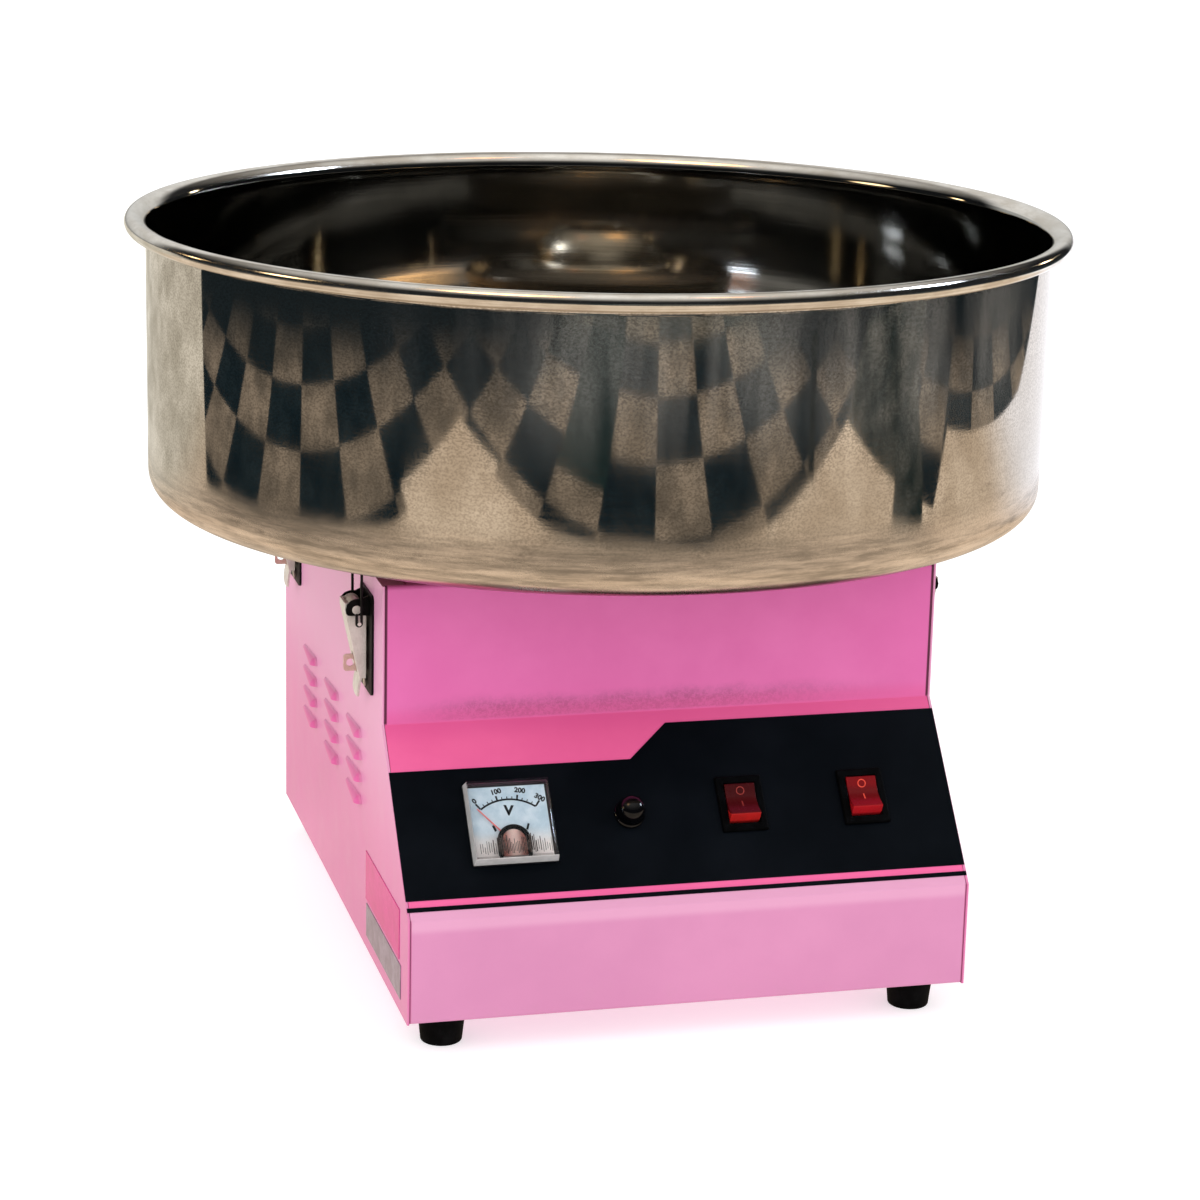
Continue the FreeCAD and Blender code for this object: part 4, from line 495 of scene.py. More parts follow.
def rim_steel():
    g = Graph("rim_steel")
    pol, a, z, r = g.polar()
    f = g.smooth(g.noise(30.0, 4.0, 0.6, g.scaled(pol, (1.0, 3.0, 3.0))), 0.35, 0.68)
    grain = g.noise(700.0, 2.0, 0.6)
    base = g.mix(f, (0.66, 0.61, 0.54), (0.86, 0.83, 0.78))
    rough = g.remap(g.math("ADD", g.math("MULTIPLY", grain, 0.5), g.math("MULTIPLY", f, 0.5)), 0.25, 0.75, 0.17, 0.09)
    return g.done(base, rough, 1.0, g.bump(grain, 0.04, 0.0001))


MAT["rim_steel"] = rim_steel()


def head_steel():
    g = Graph("head_stainless")
    pol, a, z, r = g.polar()
    rings = g.noise(90.0, 2.0, 0.5, g.scaled(pol, (0.08, 6.0, 8.0)))
    blot = g.noise(24.0, 4.0, 0.6)
    f = g.smooth(g.math("ADD", g.math("MULTIPLY", rings, 0.5), g.math("MULTIPLY", blot, 0.5)), 0.36, 0.66)
    base = g.mix(f, (0.46, 0.385, 0.280), (0.72, 0.62, 0.475))
    # the flat brim is burnt darker than the domed cup
    brim = g.smooth(r, 0.036, 0.044)
    base = g.mix(g.math("MULTIPLY", brim, 0.75), base, (0.13, 0.105, 0.080))
    rough = g.remap(f, 0.0, 1.0, 0.30, 0.20)
    return g.done(base, rough, 1.0, g.bump(rings, 0.10, 0.0002))


MAT["head_steel"] = head_steel()


def dial_face():
    g = Graph("dial_face")
    n = g.noise(120.0, 3.0, 0.6)
    base = g.mix(g.smooth(n, 0.35, 0.7), (0.50, 0.63, 0.70), (0.66, 0.76, 0.81))
    # the lower field has yellowed to a warm white
    warm = g.smooth(g.math("ADD", g.sep()[2], g.math("MULTIPLY", g.math("SUBTRACT", n, 0.5), 0.006)), 0.1110, 0.1025)
    base = g.mix(warm, base, (0.84, 0.77, 0.72))
    return g.done(base, g.remap(n, 0.3, 0.7, 0.35, 0.5), 0.0, g.bump(g.noise(900.0), 0.03, 0.0001), Specular_IOR_Level=0.2)


MAT["meter_dial"] = dial_face()
MAT["ink"] = plastic("dial_ink", (0.002, 0.003, 0.005), (0.007, 0.009, 0.012), 0.4, 0.55, 300.0, 900.0, 0.02,
                     Specular_IOR_Level=0.1)
MAT["ink_red"] = plastic("rocker_mark", (0.70, 0.060, 0.035), (0.86, 0.100, 0.060), 0.3, 0.45, 300.0, 900.0, 0.02,
                         Specular_IOR_Level=0.15)
MAT["ink_dim"] = plastic("rocker_mark_dim", (0.22, 0.026, 0.022), (0.32, 0.042, 0.034), 0.3, 0.45, 300.0, 900.0, 0.02,
                         Specular_IOR_Level=0.15)
MAT["needle_red"] = plastic("needle_red", (0.80, 0.13, 0.13), (0.92, 0.22, 0.20), 0.35, 0.5, 300.0, 900.0, 0.02)


def lens():
    """Clear acrylic: what is behind shows through, and the surface adds its gloss."""
    g = Graph("clear_acrylic")
    nt = g.nt
    nt.nodes.remove(g.p)
    tr = g.new("ShaderNodeBsdfTransparent")
    gl = g.new("ShaderNodeBsdfGlossy")
    wear = g.noise(240.0, 3.0, 0.6)
    g.link(g.mix(g.smooth(wear, 0.3, 0.7), (0.95, 0.97, 0.98), (0.99, 0.99, 1.0)), tr.inputs["Color"])
    gl.inputs["Color"].default_value = (0.95, 0.97, 1.0, 1.0)
    g.link(g.remap(wear, 0.3, 0.7, 0.05, 0.14), gl.inputs["Roughness"])
    fr = g.new("ShaderNodeFresnel")
    fr.inputs["IOR"].default_value = 1.49
    fac = g.math("MULTIPLY_ADD", fr.outputs[0], 0.25, 0.0, clamp=True)
    ms = g.new("ShaderNodeMixShader")
    g.link(fac, ms.inputs[0])
    g.link(tr.outputs[0], ms.inputs[1])
    g.link(gl.outputs[0], ms.inputs[2])
    g.link(ms.outputs[0], g.out.inputs[0])
    return g.m


MAT["meter_lens"] = lens()


def pale_lit_flank(name, tint, amount):
    """Pale milky grey for the cover's polished edges: painted light for the light those flanks catch."""
    g = Graph(name)
    n = g.noise(180.0, 3.0, 0.6)
    base = g.mix(g.smooth(n, 0.35, 0.7), tuple(c * 0.86 for c in tint), tint)
    return g.done(base, g.remap(n, 0.3, 0.7, 0.14, 0.26), 0.0, g.bump(g.noise(500.0), 0.04, 0.0002),
                  Coat_Weight=0.6, Coat_Roughness=0.05, Subsurface_Weight=amount)


MAT["lens_edge"] = pale_lit_flank("acrylic_edge", (0.56, 0.55, 0.54), 0.0)


# =========================================================================
# Geometry helpers
# =========================================================================
SL = math.atan2(155.5 - 73.5, 225.0 - 153.0)
CS, SN = math.cos(SL), math.sin(SL)


def panel(x, up, off=0.0):
    """Matrix of the slanted panel's own frame, from millimetres to metres."""
    m = Matrix(((1, 0, 0, x), (0, CS, -SN, -225.0 + up * CS - off * SN), (0, SN, CS, 73.5 + up * SN + off * CS),
                (0, 0, 0, 1)))
    return Matrix.Scale(0.001, 4) @ m


MM = Matrix.Scale(0.001, 4)


def sharpen(me, ang):
    bm = bmesh.new()
    bm.from_mesh(me)
    for f in bm.faces:
        f.smooth = True
    lim = math.radians(ang)
    for e in bm.edges:
        e.smooth = len(e.link_faces) == 2 and e.calc_face_angle(0.0) < lim
    bm.to_mesh(me)
    bm.free()


def obj_from(name, verts, faces, mat, body, m=MM, rep=(), ang=35.0, bevel=0.0, seg=2, bang=35.0,
             face_mats=None, mats=None):
    me = bpy.data.meshes.new(name)
    me.from_pydata([tuple(v) for v in verts], [], faces)
    me.validate(clean_customdata=False)
    me.transform(m)
    bm = bmesh.new()
    bm.from_mesh(me)
    bmesh.ops.recalc_face_normals(bm, faces=bm.faces)
    bm.to_mesh(me)
    bm.free()
    sharpen(me, ang)
    for mm in (mats or [mat]):
        me.materials.append(mm)
    if face_mats:
        for p, k in zip(me.polygons, face_mats):
            p.material_index = k
    return finish_piece(name, me, body, rep, bevel, seg, bang)


def finish_piece(name, me, body, rep, bevel, seg, bang):
    ob = bpy.data.objects.new(name, me)
    coll.objects.link(ob)
    if bevel:
        mod = ob.modifiers.new("edges", "BEVEL")
        mod.width = bevel
        mod.segments = seg
        mod.limit_method = "ANGLE"
        mod.angle_limit = math.radians(bang)
        mod.use_clamp_overlap = True
        mod.harden_normals = False
    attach(ob, body)
    if rep:
        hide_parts(*rep)
    return ob


def lathe_data(profile, n, closed=True, a0=0.0):
    """Vertices and faces of a profile (r, z) turned round Z; points with r = 0 are shared."""
    verts, rows, faces = [], [], []
    for r, z in profile:
        if r < 1e-6:
            rows.append([len(verts)] * n)
            verts.append((0.0, 0.0, z))
        else:
            rows.append(list(range(len(verts), len(verts) + n)))
            for k in range(n):
                t = a0 + 2 * math.pi * k / n
                verts.append((r * math.cos(t), r * math.sin(t), z))
    m = len(profile)
    for i in range(m if closed else m - 1):
        p, q = rows[i], rows[(i + 1) % m]
        for k in range(n):
            k2 = (k + 1) % n
            f = [p[k], p[k2], q[k2], q[k]]
            g = []
            for v in f:
                if v not in g:
                    g.append(v)
            if len(g) > 2:
                faces.append(g)
    return verts, faces


def arc(cx, cz, r, a, b, n):
    return [(cx + r * math.cos(math.radians(a + (b - a) * k / n)), cz + r * math.sin(math.radians(a + (b - a) * k / n)))
            for k in range(n + 1)]


def spline(pts, k):
    """Catmull-Rom curve through the points, k steps per span."""
    out = [pts[0]]
    for i in range(len(pts) - 1):
        p0, p1, p2, p3 = pts[max(i - 1, 0)], pts[i], pts[i + 1], pts[min(i + 2, len(pts) - 1)]
        for j in range(1, k + 1):
            t = j / k
            out.append(tuple(0.5 * (2 * b + (c - a) * t + (2 * a - 5 * b + 4 * c - d) * t * t +
                                    (3 * b - a - 3 * c + d) * t ** 3) for a, b, c, d in zip(p0, p1, p2, p3)))
    return out


def refine(node, width=0.0004, seg=2, ang=35.0, mat=None, name=None, smooth=32.0, weld=3e-6):
    """The CAD node's own shape with its flat faces joined up and its edges softly broken."""
    src = NODES[node]
    me = src.data.copy()
    bm = bmesh.new()
    bm.from_mesh(me)
    bmesh.ops.remove_doubles(bm, verts=bm.verts, dist=weld)
    bmesh.ops.dissolve_limit(bm, angle_limit=math.radians(0.6), use_dissolve_boundaries=False, verts=bm.verts,
                             edges=bm.edges, delimit={"NORMAL"})
    lim = math.radians(smooth)
    for f in bm.faces:
        f.smooth = True
        f.material_index = 0
    for e in bm.edges:
        e.smooth = len(e.link_faces) == 2 and e.calc_face_angle(0.0) < lim
    bm.to_mesh(me)
    bm.free()
    if me.attributes.get("custom_normal"):
        me.attributes.remove(me.attributes["custom_normal"])
    me.materials.clear()
    me.materials.append(mat or MAT[SLOT[node]])
    return finish_piece(name or node + "_v", me, BODY[node], (node,), width, seg, ang)


# =========================================================================
# Carried-over CAD nodes: better materials
# =========================================================================
for n, o in NODES.items():
    o.data.materials.clear()
    o.data.materials.append(MAT[SLOT[n]])

# =========================================================================
# Cabinet and small hardware: edges broken
# =========================================================================
refine("left_side_panel", 0.00045, 3, mat=MAT["pink_side"])
refine("right_side_panel", 0.00045, 3, mat=MAT["pink_side"])
refine("front_panel", 0.00045, 3, mat=MAT["pink_front"])
refine("top_deck", 0.00045, 3, mat=MAT["pink_deck"])
for n in ("rear_panel", "bottom_plate"):
    refine(n, 0.00045, 3)
refine("control_overlay", 0.00012, 2)
refine("blank_side_plates", 0.00012, 2)
for n in ("panel_screws", "foot_screws_and_nuts", "latch_rivets", "cable_gland"):
    refine(n, 0.00022, 2, 40.0)
for n in ("latch_pins_and_rollers", "bowl_catches"):
    refine(n, 0.00025, 2, 40.0)
# the padlock staples stayed bright; the plates and ears are blackened, and near black also as painted shade beside the
# levers
lb = refine("latch_base_plates", 0.00025, 2, 40.0)
lb.data.materials.append(MAT["latch_staple"])
for f_ in lb.data.polygons:
    c_ = f_.center
    if abs(c_.x) > 0.1523 and 0.1725 < c_.z < 0.1845:
        f_.material_index = 1
for t in ("front_left", "front_right", "rear_left", "rear_right"):
    refine("latch_lever_" + t, 0.0003, 2, 40.0)
for n in ("voltmeter_case", "heater_switch_housing", "power_switch_housing", "potentiometer_body"):
    refine(n, 0.0003, 2, 40.0)
for n in ("heater_rocker", "power_rocker"):
    refine(n, 0.0004, 3, 30.0)


# =========================================================================
# Bowl
# =========================================================================
def make_bowl():
    n = 320
    prof = []
    tag = []

    def add(pts, k):
        for p in pts:
            if prof and abs(prof[-1][0] - p[0]) < 1e-4 and abs(prof[-1][1] - p[1]) < 1e-4:
                continue
            prof.append(p)
            tag.append(k)

    # outer skin, from the collar's bead out to the wall and up
    add(arc(84.9, 253.0, 1.6, 60, -118, 10), 0)
    add([(84.0, 251.0), (84.0, 244.4)], 0)
    add(arc(87.4, 244.4, 3.4, 180, 270, 6), 0)
    add([(100.0, 241.0), (140.0, 241.0), (190.0, 241.0), (225.0, 241.0)], 0)
    add(arc(234.6, 255.0, 14.0, 270, 360, 14), 0)
    add([(248.6, z) for z in (262, 275, 290, 305, 320, 335, 350, 365, 378, 383.4)], 0)
    add(arc(251.0, 384.6, 2.4, 180, 128, 5), 0)
    # rolled bead: the sheet turns out, over and back in under itself
    add(arc(255.25, 391.25, 4.75, 236, 450, 30)[1:], 1)
    # inner skin: from the top of the bead, down the roll into the wall
    add(arc(255.20, 388.05, 7.6, 92, 150, 8)[1:], 1)
    add(arc(255.20, 388.05, 7.6, 150, 178, 5)[1:], 2)
    add([(247.6, z) for z in (383, 376, 362, 346, 330, 314, 298, 282, 268, 260)], 2)
    add(arc(234.6, 255.0, 13.0, 0, -90, 14), 2)
    add([(222.0, 242.0), (190.0, 242.0), (150.0, 242.0), (112.0, 242.0)], 2)
    add(arc(88.4, 245.4, 3.4, 270, 180, 6), 2)
    add([(85.0, 250.2)], 2)
    verts, faces = lathe_data(prof, n)
    fm = []
    m = len(prof)
    for i in range(m):
        fm += [1 if (tag[i] == 1 and tag[(i + 1) % m] != 0) else tag[(i + 1) % m]] * n
    return obj_from("bowl_v", verts, faces, None, "bowl", rep=("bowl",), ang=50.0,
                    face_mats=fm, mats=[MAT["bowl_steel"], MAT["rim_steel"], MAT["bowl_inside"]])


make_bowl()


# =========================================================================
# Spinning head
# =========================================================================
def make_head():
    n = 192
    prof = [(74.0, 279.5), (74.0, 284.0)] + arc(73.0, 284.2, 1.0, 0, 80, 5)
    # flat brim with two shallow turned steps
    prof += [(60.6, 285.7), (60.0, 286.2), (50.6, 286.6), (50.0, 287.0), (42.0, 287.2)]
    # fillet, then the domed sugar cup up to its rolled mouth
    prof += spline([(42.0, 287.2), (39.6, 287.5), (37.6, 288.5), (36.2, 290.9), (35.0, 295.4), (33.2, 300.2), (30.4, 304.6),
                    (26.8, 308.2), (23.0, 310.6), (20.0, 311.7)], 4)[1:]
    prof += arc(19.3, 311.1, 0.8, 80, 230, 7)
    prof += [(21.8, 309.8), (25.6, 307.3), (29.2, 303.6), (31.9, 299.2), (33.7, 294.6), (34.9, 290.2), (36.6, 287.2), (40.0, 285.8),
             (60.0, 284.8), (71.8, 284.0), (72.6, 283.2), (72.6, 279.5)]
    v, f = lathe_data(prof, n)
    obj_from("head_cover_v", v, f, MAT["head_steel"], "spinner", rep=("head_cover",), ang=40.0)
    prof = [(5.03, 253.0), (12.2, 253.0), (13.0, 253.8), (13.0, 257.4), (13.8, 258.0), (72.6, 258.0)]
    prof += arc(72.6, 259.4, 1.4, -90, 0, 5) + [(74.0, 263.6), (73.4, 264.0), (72.7, 264.0), (72.7, 260.6), (5.03, 260.6)]
    v, f = lathe_data(prof, n)
    obj_from("head_lower_pan_v", v, f, MAT["head_steel"], "spinner", rep=("head_lower_pan",), ang=40.0)


make_head()
refine("perforated_band", 0.0, 1, 40.0)


# =========================================================================
# Feet
# =========================================================================
def make_feet():
    verts, faces = [], []
    prof = [(2.3, 8.9), (2.3, 9.0), (5.6, 9.0), (5.6, 0.6), (6.2, 0.0), (9.6, 0.0)]
    prof += arc(9.6, 1.3, 1.3, -78, 0, 5)
    prof += [(11.6, 8.0), (12.5, 15.4)] + arc(12.0, 16.9, 1.0, 0, 90, 4) + [(8.0, 18.0), (8.0, 19.15), (2.3, 19.15)]
    v, f = lathe_data(prof, 64)
    for x, y in ((-127.5, -202.5), (127.5, -202.5), (-127.5, 130.5), (127.5, 130.5)):
        b = len(verts)
        verts += [(p[0] + x, p[1] + y, p[2]) for p in v]
        faces += [[i + b for i in q] for q in f]
    obj_from("rubber_feet_v", verts, faces, MAT["rubber"], "base", rep=("rubber_feet",), ang=38.0)


make_feet()


# =========================================================================
# Heat control knob
# =========================================================================
def make_knob():
    n = 96
    z0 = 1.2
    outer = [(6.9, z0), (7.9, z0), (8.2, z0 + 0.3), (8.2, z0 + 1.4), (7.9, z0 + 1.8), (7.45, z0 + 2.2)]
    outer += spline([(7.3, z0 + 2.8), (7.3, z0 + 5.4), (7.05, z0 + 7.6), (6.35, z0 + 9.6), (5.15, z0 + 11.2), (3.5, z0 + 12.25),
                     (1.7, z0 + 12.75)], 4) + [(0.0, z0 + 12.85)]
    inner = [(0.0, z0 + 10.2), (3.03, z0 + 10.2), (3.03, z0 + 2.4), (6.9, z0 + 2.4)]
    prof = outer + inner
    verts, faces = lathe_data(prof, n, closed=True)
    # shallow flutes round the grip
    out = []
    for x, y, z in verts:
        r = math.hypot(x, y)
        if z0 + 2.9 < z < z0 + 8.0 and r > 6.0:
            t = math.atan2(y, x)
            k = 0.5 + 0.5 * math.cos(16 * t)
            s = 1.0 - 0.030 * (1 - k) ** 2 * min(1.0, (z0 + 8.0 - z) / 2.0)
            x, y = x * s, y * s
        out.append((x, y, z))
    ob = obj_from("heat_knob_v", out, faces, MAT["knob_black"], "knob", panel(-27.0, 51.0), ("heat_knob",),
                  ang=40.0)
    return ob


make_knob()


# =========================================================================
# Marks on the rockers
# =========================================================================
def ring_mesh(cx, cy, ro, ri, z, h, n=40, sx=1.0):
    v, f = [], []
    for zz in (z, z + h):
        for r in (ro, ri):
            v += [(cx + sx * r * math.cos(2 * math.pi * k / n), cy + r * math.sin(2 * math.pi * k / n), zz) for k in range(n)]
    A, B, C, D = 0, n, 2 * n, 3 * n
    for k in range(n):
        k2 = (k + 1) % n
        f += [[C + k, C + k2, D + k2, D + k], [A + k, B + k, B + k2, A + k2], [A + k, A + k2, C + k2, C + k],
              [B + k, D + k, D + k2, B + k2]]
    return v, f


def bar_mesh(x0, y0, x1, y1, z, h):
    v = [(x0, y0, z), (x1, y0, z), (x1, y1, z), (x0, y1, z), (x0, y0, z + h), (x1, y0, z + h), (x1, y1, z + h), (x0, y1, z + h)]
    f = [[0, 3, 2, 1], [4, 5, 6, 7], [0, 1, 5, 4], [1, 2, 6, 5], [2, 3, 7, 6], [3, 0, 4, 7]]
    return v, f


def rocker_marks(tag, cx, mat):
    """O near the pressed end and I past the middle, printed on the rocker's own surface."""
    me = NODES[tag + "_rocker"].data
    tree = BVHTree.FromPolygons([v.co for v in me.vertices], [list(q.vertices) for q in me.polygons])
    m = panel(cx, 53.0)
    inv = m.inverted()
    down = (m.to_3x3() @ Vector((0, 0, -1))).normalized()
    for nm, (v, f), y in (("o", ring_mesh(0, 0, 2.3, 1.75, 0, 0.07), 6.6), ("i", bar_mesh(-0.33, -1.7, 0.33, 1.7, 0, 0.07), -0.9)):
        out = []
        for a, b, c in v:
            hit = tree.ray_cast(m @ Vector((a, b + y, 20.0)), down)[0]
            out.append((a, b + y, (inv @ hit).z - 0.02 + c * 1.3))
        obj_from("mark_%s_%s" % (nm, tag), out, f, mat, tag + "_rocker", m)


rocker_marks("heater", 34.0, MAT["ink_dim"])
rocker_marks("power", 101.0, MAT["ink_red"])


# =========================================================================
# Voltmeter
# =========================================================================
def text_mesh(body_text, size, z, h, bold=0.0):
    cu = bpy.data.curves.new("t", "FONT")
    cu.body = body_text
    cu.size = size
    cu.align_x = "CENTER"
    cu.align_y = "CENTER"
    cu.extrude = h / 2
    cu.offset = bold
    cu.resolution_u = 4
    ob = bpy.data.objects.new("t", cu)
    coll.objects.link(ob)
    bpy.context.view_layer.update()
    dg = bpy.context.evaluated_depsgraph_get()
    me = bpy.data.meshes.new_from_object(ob.evaluated_get(dg))
    v = [(p.co.x, p.co.y, p.co.z + z + h / 2) for p in me.vertices]
    f = [list(p.vertices) for p in me.polygons]
    bpy.data.objects.remove(ob)
    bpy.data.curves.remove(cu)
    bpy.data.meshes.remove(me)
    return v, f


def arc_strip(cx, cy, r0, r1, a0, a1, z, h, n):
    """Flat ring sector; angles in degrees from +Y, clockwise positive."""
    v, f = [], []
    for zz in (z, z + h):
        for k in range(n + 1):
            t = math.radians(a0 + (a1 - a0) * k / n)
            for r in (r0, r1):
                v.append((cx + r * math.sin(t), cy + r * math.cos(t), zz))
    w = 2 * (n + 1)
    for k in range(n):
        a = 2 * k
        f += [[a, a + 1, a + 3, a + 2], [w + a, w + a + 2, w + a + 3, w + a + 1],
              [a, a + 2, w + a + 2, w + a], [a + 1, w + a + 1, w + a + 3, a + 3]]
    f += [[0, w, w + 1, 1], [2 * n, 2 * n + 1, w + 2 * n + 1, w + 2 * n]]
    return v, f


def merge(parts):
    v, f = [], []
    for a, b in parts:
        k = len(v)
        v += a
        f += [[i + k for i in q] for q in b]
    return v, f


def shifted(vf, dx, dy, rot=0.0):
    c, s = math.cos(rot), math.sin(rot)
    return [(x * c - y * s + dx, x * s + y * c + dy, z) for x, y, z in vf[0]], vf[1]


def make_meter():
    M = panel(-90.5, 49.7)
    PV = -11.7
    zf = 2.0                               # dial face
    # dial plate with rounded corners
    n = 6
    pts = []
    for sx, sy, a0 in ((1, 1, 0), (-1, 1, 90), (-1, -1, 180), (1, -1, 270)):
        for k in range(n + 1):
            t = math.radians(a0 + 90 * k / n)
            pts.append((sx * 18.7 + 1.5 * math.cos(t), sy * 18.7 + 1.5 * math.sin(t)))
    v = [(x, y, 1.2) for x, y in pts] + [(x, y, zf) for x, y in pts]
    k = len(pts)
    f = [list(range(k))[::-1], list(range(k, 2 * k))] + [[i, (i + 1) % k, k + (i + 1) % k, k + i] for i in range(k)]
    # printed face sheet, a little larger than its backing plate
    sheet = [(x * 1.036, y * 1.036) for x, y in pts]
    v += [(x, y, zf) for x, y in sheet] + [(x, y, zf + 0.1) for x, y in sheet]
    f += [list(range(2 * k, 3 * k))[::-1], list(range(3 * k, 4 * k))]
    f += [[2 * k + i, 2 * k + (i + 1) % k, 3 * k + (i + 1) % k, 3 * k + i] for i in range(k)]
    obj_from("dial_plate", v, f, MAT["meter_dial"], "base", M, ("voltmeter_dial",))
    # printed scale
    zf += 0.1
    t = 0.05
    PU = PV + 0.9
    parts = [arc_strip(0, PU, 23.5, 24.5, -37, 37, zf, t, 48)]
    for i in range(13):
        a = -37 + 74 * i / 12.0
        big = i % 4 == 0
        w = 1.05 if big else 0.55
        parts.append(arc_strip(0, PU, 24.2, 28.0 if i in (0, 12) else 26.8 if big else 25.6, a - w, a + w, zf, t, 1))
    for i, q in enumerate(("0", "100", "200", "300")):
        a = math.radians(-37 + 74 * i / 3.0)
        parts.append(shifted(text_mesh(q, 3.8, zf, t, 0.17), 29.6 * math.sin(a) + (1.0 if i in (1, 2) else -0.6 * math.copysign(1, a)),
                             PU + 29.2 * math.cos(a) + (0.6 if i in (0, 3) else 0.0), -a * 0.9))
    parts.append(shifted(text_mesh("V", 7.4, zf, t, 0.34), 0.0, PU + 17.6, -0.10))
    # two short stops beside the coil
    for sx in (-1, 1):
        parts.append(shifted(bar_mesh(-0.55, -1.7, 0.55, 1.7, zf, 0.35), sx * 8.8, PV + 9.2, sx * -0.35))
    v, f = merge(parts)
    obj_from("dial_scale", v, f, MAT["ink"], "base", M, ang=20.0)
    # black arch of the coil cover, bridging over the needle, on two feet
    parts = [arc_strip(0, PV + 0.9, 6.2, 8.7, -95, 95, 4.3, 1.6, 40)]
    for sx in (-1, 1):
        parts.append(shifted(bar_mesh(-0.9, -7.6, 0.9, 0.9, zf + 0.1, 5.9 - zf - 0.1), sx * 7.6, PV, 0.0))
    v, f = merge(parts)
    obj_from("coil_arch", v, f, MAT["switch_black"], "base", M, bevel=0.0002)
    # copper winding inside the arch, wires running up and down
    parts = []
    x = -6.5
    i = 0
    while x < 6.5:
        top = PV + 0.9 + math.sqrt(max(6.6 ** 2 - x * x, 0.05))
        h = 0.55 + 0.45 * math.cos(x / 6.8 * 1.4) + (0.12 if i % 2 else 0.0)
        parts.append(bar_mesh(x - 0.19, PV - 7.3, x + 0.19, top, 4.35, h))
        x += 0.5
        i += 1
    v, f = merge(parts)
    obj_from("meter_coil", v, f, MAT["coil"], "base", M, bevel=0.00005, seg=1)
    # pale moulded bar along the foot of the movement, with the zero-adjust boss
    v, f = merge([bar_mesh(-19.8, -19.9, 19.8, -18.2, zf, 1.6), shifted(ring_mesh(0, 0, 1.6, 0.7, zf, 2.0), 0.0, -17.2)])
    obj_from("meter_block", v, f, MAT["meter_brown"], "base", M, bevel=0.0001)
    # clear cover: hollow frustum; its left and lower flanks are painted pale milky grey as painted light, the others
    # clear
    zb, zt = 2.2, 8.8
    ho, hi_ = 22.5, 21.6                    # half widths outside at the base and the top
    o = [(-ho, -ho, zb), (ho, -ho, zb), (ho, ho, zb), (-ho, ho, zb), (-hi_, -hi_, zt), (hi_, -hi_, zt), (hi_, hi_, zt), (-hi_, hi_, zt)]
    hb, ht = 21.6, 20.8
    i_ = [(-hb, -hb, zb), (hb, -hb, zb), (hb, hb, zb), (-hb, hb, zb), (-ht, -ht, zt - 1.2), (ht, -ht, zt - 1.2), (ht, ht, zt - 1.2), (-ht, ht, zt - 1.2)]
    v = o + i_
    f = [[4, 5, 6, 7], [0, 1, 5, 4], [1, 2, 6, 5], [2, 3, 7, 6], [3, 0, 4, 7],
         [12, 15, 14, 13], [8, 12, 13, 9], [9, 13, 14, 10], [10, 14, 15, 11], [11, 15, 12, 8],
         [0, 8, 9, 1], [1, 9, 10, 2], [2, 10, 11, 3], [3, 11, 8, 0]]
    fm = [0, 1, 0, 0, 1, 0, 0, 0, 0, 0, 0, 0, 0, 0]
    obj_from("meter_cover", v, f, None, "base", M, ("voltmeter_lens",), bevel=0.0005, seg=3,
             face_mats=fm, mats=[MAT["meter_lens"], MAT["lens_edge"]])
    # fluted lower field of the cover
    parts = []
    k = 0
    x = -18.9
    while x <= 18.91:
        near = max(0.0, 1.0 - abs(abs(x) - 7.5) / 7.0)
        h = 5.4 + 3.6 * near + 1.3 * math.sin(k * 2.4) + 1.0 * math.sin(k * 5.1)
        w = 0.13 + 0.13 * near + 0.06 * math.sin(k * 3.3)
        parts.append(bar_mesh(x - w, -18.6 + 0.8 * math.sin(k * 1.7), x + w, -18.6 + h, zt - 0.02, 0.16))
        x += 0.80 if abs(x) < 10 else 1.15
        k += 1
    v, f = merge(parts)
    obj_from("cover_ribs", v, f, MAT["meter_lens_rib"], "base", M, bevel=0.00004, seg=1)


def coil_mat():
    """Enamelled winding, brightest where the light falls in the middle."""
    g = Graph("coil_copper")
    x, y, z = g.sep()[:3]
    n = g.noise(500.0, 3.0, 0.6)
    mid = g.smooth(g.math("ABSOLUTE", g.math("ADD", x, 0.0905)), 0.0052, 0.0004)
    base = g.mix(g.smooth(n, 0.35, 0.65), (0.26, 0.080, 0.060), (0.58, 0.22, 0.17))
    base = g.mix(mid, base, (1.0, 0.74, 0.66))
    return g.done(base, g.remap(n, 0.3, 0.7, 0.35, 0.5), 0.25, g.bump(n, 0.1, 0.0001))


MAT["coil"] = coil_mat()
MAT["meter_brown"] = plastic("meter_block", (0.50, 0.44, 0.41), (0.66, 0.59, 0.55), 0.35, 0.5, 200.0, 900.0, 0.08)
MAT["meter_lens_rib"] = plastic("acrylic_rib", (0.030, 0.022, 0.020), (0.10, 0.080, 0.072), 0.3, 0.4, 700.0, 900.0, 0.02,
                                Specular_IOR_Level=0.2)
make_meter()
refine("voltmeter_needle", 0.0, 1, 40.0)

# =========================================================================
# Bails: smooth round wire
# =========================================================================
for t in ("front_left", "front_right", "rear_left", "rear_right"):
    refine("latch_bail_" + t, 0.0, 1, 60.0, smooth=60.0)

# =========================================================================
# Studio
# =========================================================================


def floor_mat():
    g = Graph("floor")
    n = g.noise(2.5, 4.0, 0.55)
    base = g.mix(n, (0.56, 0.57, 0.57), (0.60, 0.61, 0.61))
    return g.done(base, 0.75, 0.0, Specular_IOR_Level=0.1, Emission_Color=(1.0, 1.0, 1.0), Emission_Strength=0.58)


me = bpy.data.meshes.new("floor")
me.from_pydata([(-14, -14, 0), (14, -14, 0), (14, 14, 0), (-14, 14, 0)], [], [[0, 1, 2, 3]])
me.materials.append(floor_mat())
floor = bpy.data.objects.new("floor", me)
coll.objects.link(floor)
floor.visible_glossy = False


